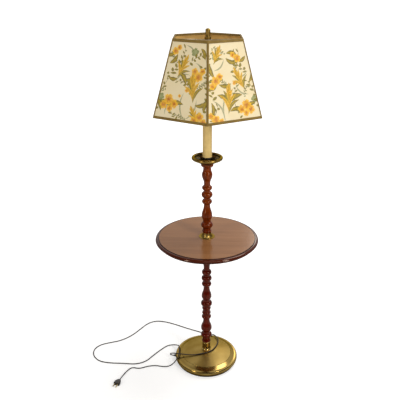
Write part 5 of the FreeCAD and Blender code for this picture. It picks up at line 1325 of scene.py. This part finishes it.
# ================================================================ pan and candle
class LampPan(bpy.types.Operator):
    """Builds the pan with its cup, the candle's seat and ring, and the candle sleeve with its cap"""

    bl_idname = "lamp.pan"
    bl_label = "Pan and candle"

    def execute(self, context):
        brass = context.scene.lamp_brass
        self.make_cup(brass)
        self.make_pan(brass)
        seat = Outline(ROD_HOLE, bottom_of("candle_seat")).out(brass.seat_foot).up(brass.seat_foot_height)
        seat.arc(brass.seat_top, top_of("candle_seat"), -CUP_HOLLOW).out(ROD_HOLE)
        new_piece("brass_seat", turned(seat), "lamp", "candle_seat", finish("pan_brass"))
        ring_low, ring_high = bottom_of("candle_ring"), top_of("candle_ring")
        ring = Outline(ROD_HOLE, ring_low).out(RING_EDGE)
        ring.bead(RING_BELLY, ring_high - ring_low).out(ROD_HOLE)
        new_piece("enamel_ring", turned(ring), "lamp", "candle_ring", finish("black_enamel"))
        low, high = bottom_of("candle_sleeve"), top_of("candle_sleeve")
        sleeve = Outline(SLEEVE_BORE, low).out(SLEEVE_RADIUS - FINE_EASE).line(SLEEVE_RADIUS, low + FINE_EASE)
        sleeve.line(SLEEVE_RADIUS, high - FINE_EASE).line(SLEEVE_RADIUS - FINE_EASE, high).out(SLEEVE_BORE)
        new_piece("candle_tube", turned(sleeve), "lamp", "candle_sleeve",
                  finish("candle_cream"))
        cap_top = top_of("sleeve_cap")
        cap = Outline(ROD_HOLE, high - CAP_PLUG_DEPTH).out(CAP_PLUG_RADIUS).line(CAP_PLUG_RADIUS, high)
        cap.out(CAP_RADIUS).line(CAP_RADIUS, cap_top - CAP_EASE)
        cap.arc(CAP_RADIUS - CAP_EASE, cap_top, FINE_EASE).out(ROD_HOLE)
        new_piece("brass_cap", turned(cap), "lamp", "sleeve_cap", finish("aged_brass"))
        return {"FINISHED"}

    def make_cup(self, brass):
        low, high = bottom_of("pan_cup"), top_of("pan_cup")
        cup = Outline(ROD_HOLE, low).out(brass.cup_foot - FINE_EASE)
        cup.line(brass.cup_foot, low + FINE_EASE).arc(brass.cup_mouth, high - EASE, -CUP_HOLLOW)
        cup.line(brass.cup_mouth - EASE, high).out(ROD_HOLE)
        new_piece("brass_cup", turned(cup), "lamp", "pan_cup", finish("bronzed_cup"))

    def make_pan(self, brass):
        """Bowl with a rolled rim: one outline that goes under the bowl, round the roll and back inside."""
        low = bottom_of("drip_pan")
        roll_height = low + brass.pan_rise
        meet = brass.pan_rim - brass.pan_roll * ROLL_MEET
        below = roll_height - brass.pan_roll * ROLL_RISE
        pan = Outline(ROD_HOLE, low).out(brass.pan_floor)
        pan.arc(meet, below, brass.pan_swell)
        pan.arc(meet, roll_height + brass.pan_roll * ROLL_RISE, brass.pan_roll * (1 + ROLL_MEET))
        pan.arc(meet, below + THIN_WALL, brass.pan_roll * (1 - ROLL_MEET))
        pan.arc(brass.pan_floor, low + THIN_WALL, -brass.pan_swell).out(ROD_HOLE)
        new_piece("brass_pan", turned(pan), "lamp", "drip_pan", finish("pan_brass"))


# ================================================================ lamp holder and bulb
class LampHolder(bpy.types.Operator):
    """Builds the lamp holder with its turning key, and the bulb"""

    bl_idname = "lamp.holder"
    bl_label = "Lamp holder and bulb"

    def execute(self, context):
        low, high = bottom_of("socket_cap"), top_of("socket_cap")
        bore, neck, neck_height, side, band, wall = 0.0051, 0.0075, 0.005, 0.0176, 0.0180, 0.0008
        skirt, shoulder = 0.004, 0.0022
        cap = Outline(bore, low).out(neck).up(neck_height).arc(side, high - skirt, shoulder)
        cap.up(0.0012).out(band).up(wall).out(side).line(side, high).out(side - wall)
        cap.line(side - wall, high - skirt).arc(neck, low + neck_height + wall, -shoulder).out(bore)
        new_piece("holder_cap", turned(cap), "lamp", "socket_cap", finish("aged_brass"))
        for name, node, body, slot, coat in (
                ("holder_shell", "socket_shell", "lamp", "aged_brass", "aged_brass"),
                ("holder_liner", "socket_liner", "lamp", "insulating_card", "insulating_card"),
                ("holder_body", "socket_body", "lamp", "black_moulding", "black_moulding"),
                ("holder_screw_shell", "socket_screw_shell", "lamp", "bulb_cap", "aluminium"),
                ("harp_strap", "harp_saddle", "lamp", "nickel", "nickel"),
                ("turning_key", "switch_key", "switch_key", "black_moulding", "black_moulding")):
            smooth_copy(name, node, body, finish(coat))
        self.make_bulb()
        return {"FINISHED"}

    def make_bulb(self):
        """Frosted pear-shaped glass, and a cap with its rolled thread."""
        neck, widest = 0.0145, 0.030
        low, high = bottom_of("bulb_glass"), top_of("bulb_glass")
        wall = 0.0008
        glass = Outline(neck - wall, low).out(neck).swell(widest, high - low - widest).dome(widest)
        inner = Outline(neck - wall, low).swell(widest - wall, high - low - widest).dome(widest - wall)
        glass.points += inner.points[::-1]
        new_piece("bulb_envelope", turned(glass, closed=False), "lamp", "bulb_glass",
                  finish("frosted_glass"))
        foot, top = bottom_of("bulb_cap"), top_of("bulb_cap")
        contact, insulator, thread, mouth = 0.0045, 0.0100, 0.0121, 0.0131
        turns, pitch, crest = 6, 0.0026, 0.0010
        cap = Outline(0.0, foot).out(contact - 0.0002).line(contact, foot + FINE_EASE)
        cap.line(contact, foot + 0.002).out(insulator).line(thread, foot + 0.0045)
        for _ in range(turns):
            cap.arc(thread, cap.end[1] + pitch, crest)
        cap.line(thread + 0.0003, top - 0.002).line(mouth, top - 0.0015).line(mouth, top).out(0.0)
        new_piece("bulb_thread", turned(cap, closed=False), "lamp", "bulb_cap",
                  finish("aluminium"))


# ================================================================ harp and finial
class LampHarp(bpy.types.Operator):
    """Builds the harp with its ferrules and its stud, and the finial"""

    bl_idname = "lamp.harp"
    bl_label = "Harp and finial"

    def execute(self, context):
        brass = context.scene.lamp_brass
        smooth_copy("harp_bow", "harp_wire", "lamp", finish("nickel"), 60)
        for side in ("left", "right"):
            smooth_copy("ferrule_sleeve_" + side, "harp_ferrule_" + side, "ferrule_" + side,
                        finish("nickel"))
        smooth_copy("harp_block", "harp_stud", "lamp", finish("aged_brass"))
        low, high = bottom_of("finial"), top_of("finial")
        bore, depth = 0.00318, 0.0135
        nut_ease, shoulder = 0.0005, 0.001
        nut_top = low + brass.finial_nut_height
        post = Outline(0.0, low + depth).out(bore).line(bore, low).out(brass.finial_nut - nut_ease)
        post.line(brass.finial_nut, low + nut_ease).line(brass.finial_nut, nut_top - shoulder)
        post.arc(brass.finial_nut - shoulder, nut_top, FINE_EASE)
        post.out(brass.finial_waist).up(brass.finial_waist_height).out(brass.finial_post - EASE)
        post.line(brass.finial_post, post.end[1] + EASE).line(brass.finial_post, high - brass.finial_crown)
        post.dome(brass.finial_crown)
        new_piece("finial_post", turned(post, closed=False), "finial", "finial",
                  finish("aged_brass"))
        return {"FINISHED"}


# ================================================================ shade
def shade_span():
    """Heights of the shade's lower and upper edge."""
    return bottom_of("shade_tape_bottom"), top_of("shade_tape_top")


def shade_lean():
    """Angle of the panels from upright."""
    shade = context_sizes("lamp_shade")
    low, high = shade_span()
    return math.atan((shade.bottom - shade.top) * math.cos(math.pi / SIDES) / (high - low))


def corner_radius(height, depth):
    """Axis to corner at a height, for a surface that lies at a depth behind the outside."""
    shade = context_sizes("lamp_shade")
    low, high = shade_span()
    outside = shade.bottom + (shade.top - shade.bottom) * (height - low) / (high - low)
    return outside - depth / math.cos(shade_lean()) / math.cos(math.pi / SIDES)


def corner(index, height, depth=0.0):
    bearing = FIRST_CORNER + index * math.tau / SIDES
    radius = corner_radius(height, depth)
    return Vector((radius * math.cos(bearing), radius * math.sin(bearing), height))


class LampPanels(bpy.types.Operator):
    """Builds the six printed panels of the shade with their brown lining"""

    bl_idname = "lamp.panels"
    bl_label = "Shade panels"

    def execute(self, context):
        for index in range(SIDES):
            self.make_panel(index)
        return {"FINISHED"}

    def make_panel(self, index):
        low, high = shade_span()
        seam_gap = 0.00015
        outer = [corner(index, low, TAPE_THICKNESS), corner(index + 1, low, TAPE_THICKNESS),
                 corner(index + 1, high, TAPE_THICKNESS), corner(index, high, TAPE_THICKNESS)]
        across = (outer[1] - outer[0]).normalized()
        foot = (outer[0] + outer[1]) / 2
        upward = ((outer[2] + outer[3]) / 2 - foot).normalized()
        for place, side in zip(outer, (1, -1, -1, 1)):
            place += across * seam_gap * side
        bm = bmesh.new()
        face = bm.faces.new([bm.verts.new(place) for place in outer])
        inward = -across.cross(upward)
        made = bmesh.ops.extrude_face_region(bm, geom=[face], use_keep_orig=True)
        moved = [item for item in made["geom"] if isinstance(item, bmesh.types.BMVert)]
        bmesh.ops.translate(bm, verts=moved, vec=inward * PANEL_THICKNESS)
        bmesh.ops.recalc_face_normals(bm, faces=bm.faces[:])
        uv = bm.loops.layers.uv.new("UVMap")
        for side in bm.faces:
            side.material_index = 0 if side.normal.dot(-inward) > 0.9 else 1
            for loop in side.loops:
                offset = loop.vert.co - foot
                loop[uv].uv = (offset.dot(across), offset.dot(upward))
        node = "shade_panel_%d" % (index + 1)
        cloth = finish("floral_print_one" if index % 2 else "floral_print_two")
        panel = new_piece("printed_panel_%d" % (index + 1), bm, "shade", node, cloth)
        panel.data.materials.append(finish("shade_lining"))


class LampTapes(bpy.types.Operator):
    """Builds the folded tapes round the shade's edges and over its seams"""

    bl_idname = "lamp.tapes"
    bl_label = "Shade tapes"

    def execute(self, context):
        low, high = shade_span()
        band = context.scene.lamp_shade.tape * math.cos(shade_lean())
        fold = context.scene.lamp_shade.fold
        self.make_edge("edge_tape_low", "shade_tape_bottom", low, 1, band, fold)
        self.make_edge("edge_tape_high", "shade_tape_top", high, -1, band, fold)
        self.make_seams()
        return {"FINISHED"}

    def make_edge(self, name, node, edge, inward, band, fold):
        """Tape over the shade's edge and round the wire behind it. inward is +1 where the shade is above."""
        # Each point is (rise from the edge, depth behind the shade's outside).
        wrap_depth = 0.0060
        outer = [(band, 0.0), (0.0012, 0.0), (0.0002, 0.0004), (-0.0004, 0.0014),
                 (-0.0004, wrap_depth - 0.0012), (0.0002, wrap_depth - 0.0003),
                 (0.0012, wrap_depth), (fold, wrap_depth)]
        inner = [(fold, wrap_depth - TAPE_THICKNESS), (0.0014, wrap_depth - TAPE_THICKNESS),
                 (0.0004, wrap_depth - 0.0014), (0.0004, 0.0014), (0.0012, TAPE_THICKNESS),
                 (band, TAPE_THICKNESS)]
        bm = bmesh.new()
        verts = [bm.verts.new(corner(0, edge + inward * rise, depth)) for rise, depth in outer + inner]
        for one, other in zip(verts, verts[1:] + verts[:1]):
            bm.edges.new((one, other))
        bmesh.ops.spin(bm, geom=bm.verts[:] + bm.edges[:], cent=(0, 0, 0), axis=(0, 0, 1), angle=math.tau,
                       steps=SIDES, use_merge=True)
        new_piece(name, bm, "shade", node, finish("olive_tape"), 30)

    def make_seams(self):
        """Folded strip over each seam, its ends under the edge tapes."""
        low, high = shade_span()
        half = context_sizes("lamp_shade").tape / 2
        tuck, short = 0.0001, 0.001      # under the edge tapes, and short of the shade's edges
        bm = bmesh.new()
        for index in range(SIDES):
            start = corner(index, low + short, tuck)
            seam = corner(index, high - short, tuck) - start
            sides = [(corner(index + step, low) - corner(index, low)).normalized() for step in (-1, 1)]
            inward = Vector((-start.x, -start.y, 0.0)).normalized() * TAPE_THICKNESS
            places = [start + sides[0] * half, start, start + sides[1] * half,
                      start + sides[1] * half + inward, start + inward * 1.15,
                      start + sides[0] * half + inward]
            face = bm.faces.new([bm.verts.new(place) for place in places])
            made = bmesh.ops.extrude_face_region(bm, geom=[face], use_keep_orig=True)
            moved = [item for item in made["geom"] if isinstance(item, bmesh.types.BMVert)]
            bmesh.ops.translate(bm, verts=moved, vec=seam)
            ridge = [edge for edge in bm.edges if {tuple(end.co) for end in edge.verts}
                     == {tuple(place) for place in (face.verts[1].co, face.verts[1].co + seam)}]
            bmesh.ops.bevel(bm, geom=ridge, offset=0.0007, offset_type="OFFSET", segments=3, profile=0.5,
                            affect="EDGES", material=-1)
        new_piece("seam_tapes", bm, "shade", "shade_tape_seams", finish("olive_tape"), 40)


class LampFrame(bpy.types.Operator):
    """Builds the wire frame inside the shade"""

    bl_idname = "lamp.wire_frame"
    bl_label = "Shade frame"

    def execute(self, context):
        for name, node in (("wire_ring_high", "shade_ring_top"), ("wire_ring_low", "shade_ring_bottom"),
                           ("wire_ribs", "shade_ribs"), ("spider_washer", "shade_spider_washer"),
                           ("spider_arms", "shade_spider_arms")):
            smooth_copy(name, node, "shade", finish("frame_wire"), 50)
        return {"FINISHED"}


class LampPanel(bpy.types.Panel):
    """Lists the lamp's pieces in the sidebar"""

    bl_idname = "VIEW3D_PT_lamp"
    bl_label = "Floor lamp"
    bl_space_type = "VIEW_3D"
    bl_region_type = "UI"
    bl_category = "Lamp"

    def draw(self, context):
        for operator in OPERATORS:
            self.layout.operator(operator.bl_idname)
        for group in SETTINGS:
            settings = getattr(context.scene, group)
            box = self.layout.box()
            for name in settings.__annotations__:
                box.prop(settings, name)


SETTINGS = {
    "lamp_turning": LampTurning,
    "lamp_table": LampTable,
    "lamp_brass": LampBrass,
    "lamp_shade": LampShade,
    "lamp_colours": LampColours,
}
OPERATORS = (LampStage, LampLead, LampBase, LampColumns, LampTableTop, LampPan, LampHolder, LampHarp,
             LampPanels, LampTapes, LampFrame)


def register():
    for cls in (*SETTINGS.values(), *OPERATORS, LampPanel):
        bpy.utils.register_class(cls)
    for name, group in SETTINGS.items():
        setattr(bpy.types.Scene, name, bpy.props.PointerProperty(type=group))


def unregister():
    for name in SETTINGS:
        delattr(bpy.types.Scene, name)
    for cls in reversed((*SETTINGS.values(), *OPERATORS, LampPanel)):
        bpy.utils.unregister_class(cls)


def main():
    register()
    bpy.ops.lamp.stage()
    bpy.ops.lamp.lead()
    bpy.ops.lamp.base()
    bpy.ops.lamp.columns()
    bpy.ops.lamp.table_top()
    bpy.ops.lamp.pan()
    bpy.ops.lamp.holder()
    bpy.ops.lamp.harp()
    bpy.ops.lamp.panels()
    bpy.ops.lamp.tapes()
    bpy.ops.lamp.wire_frame()


if __name__ == "__main__":
    main()
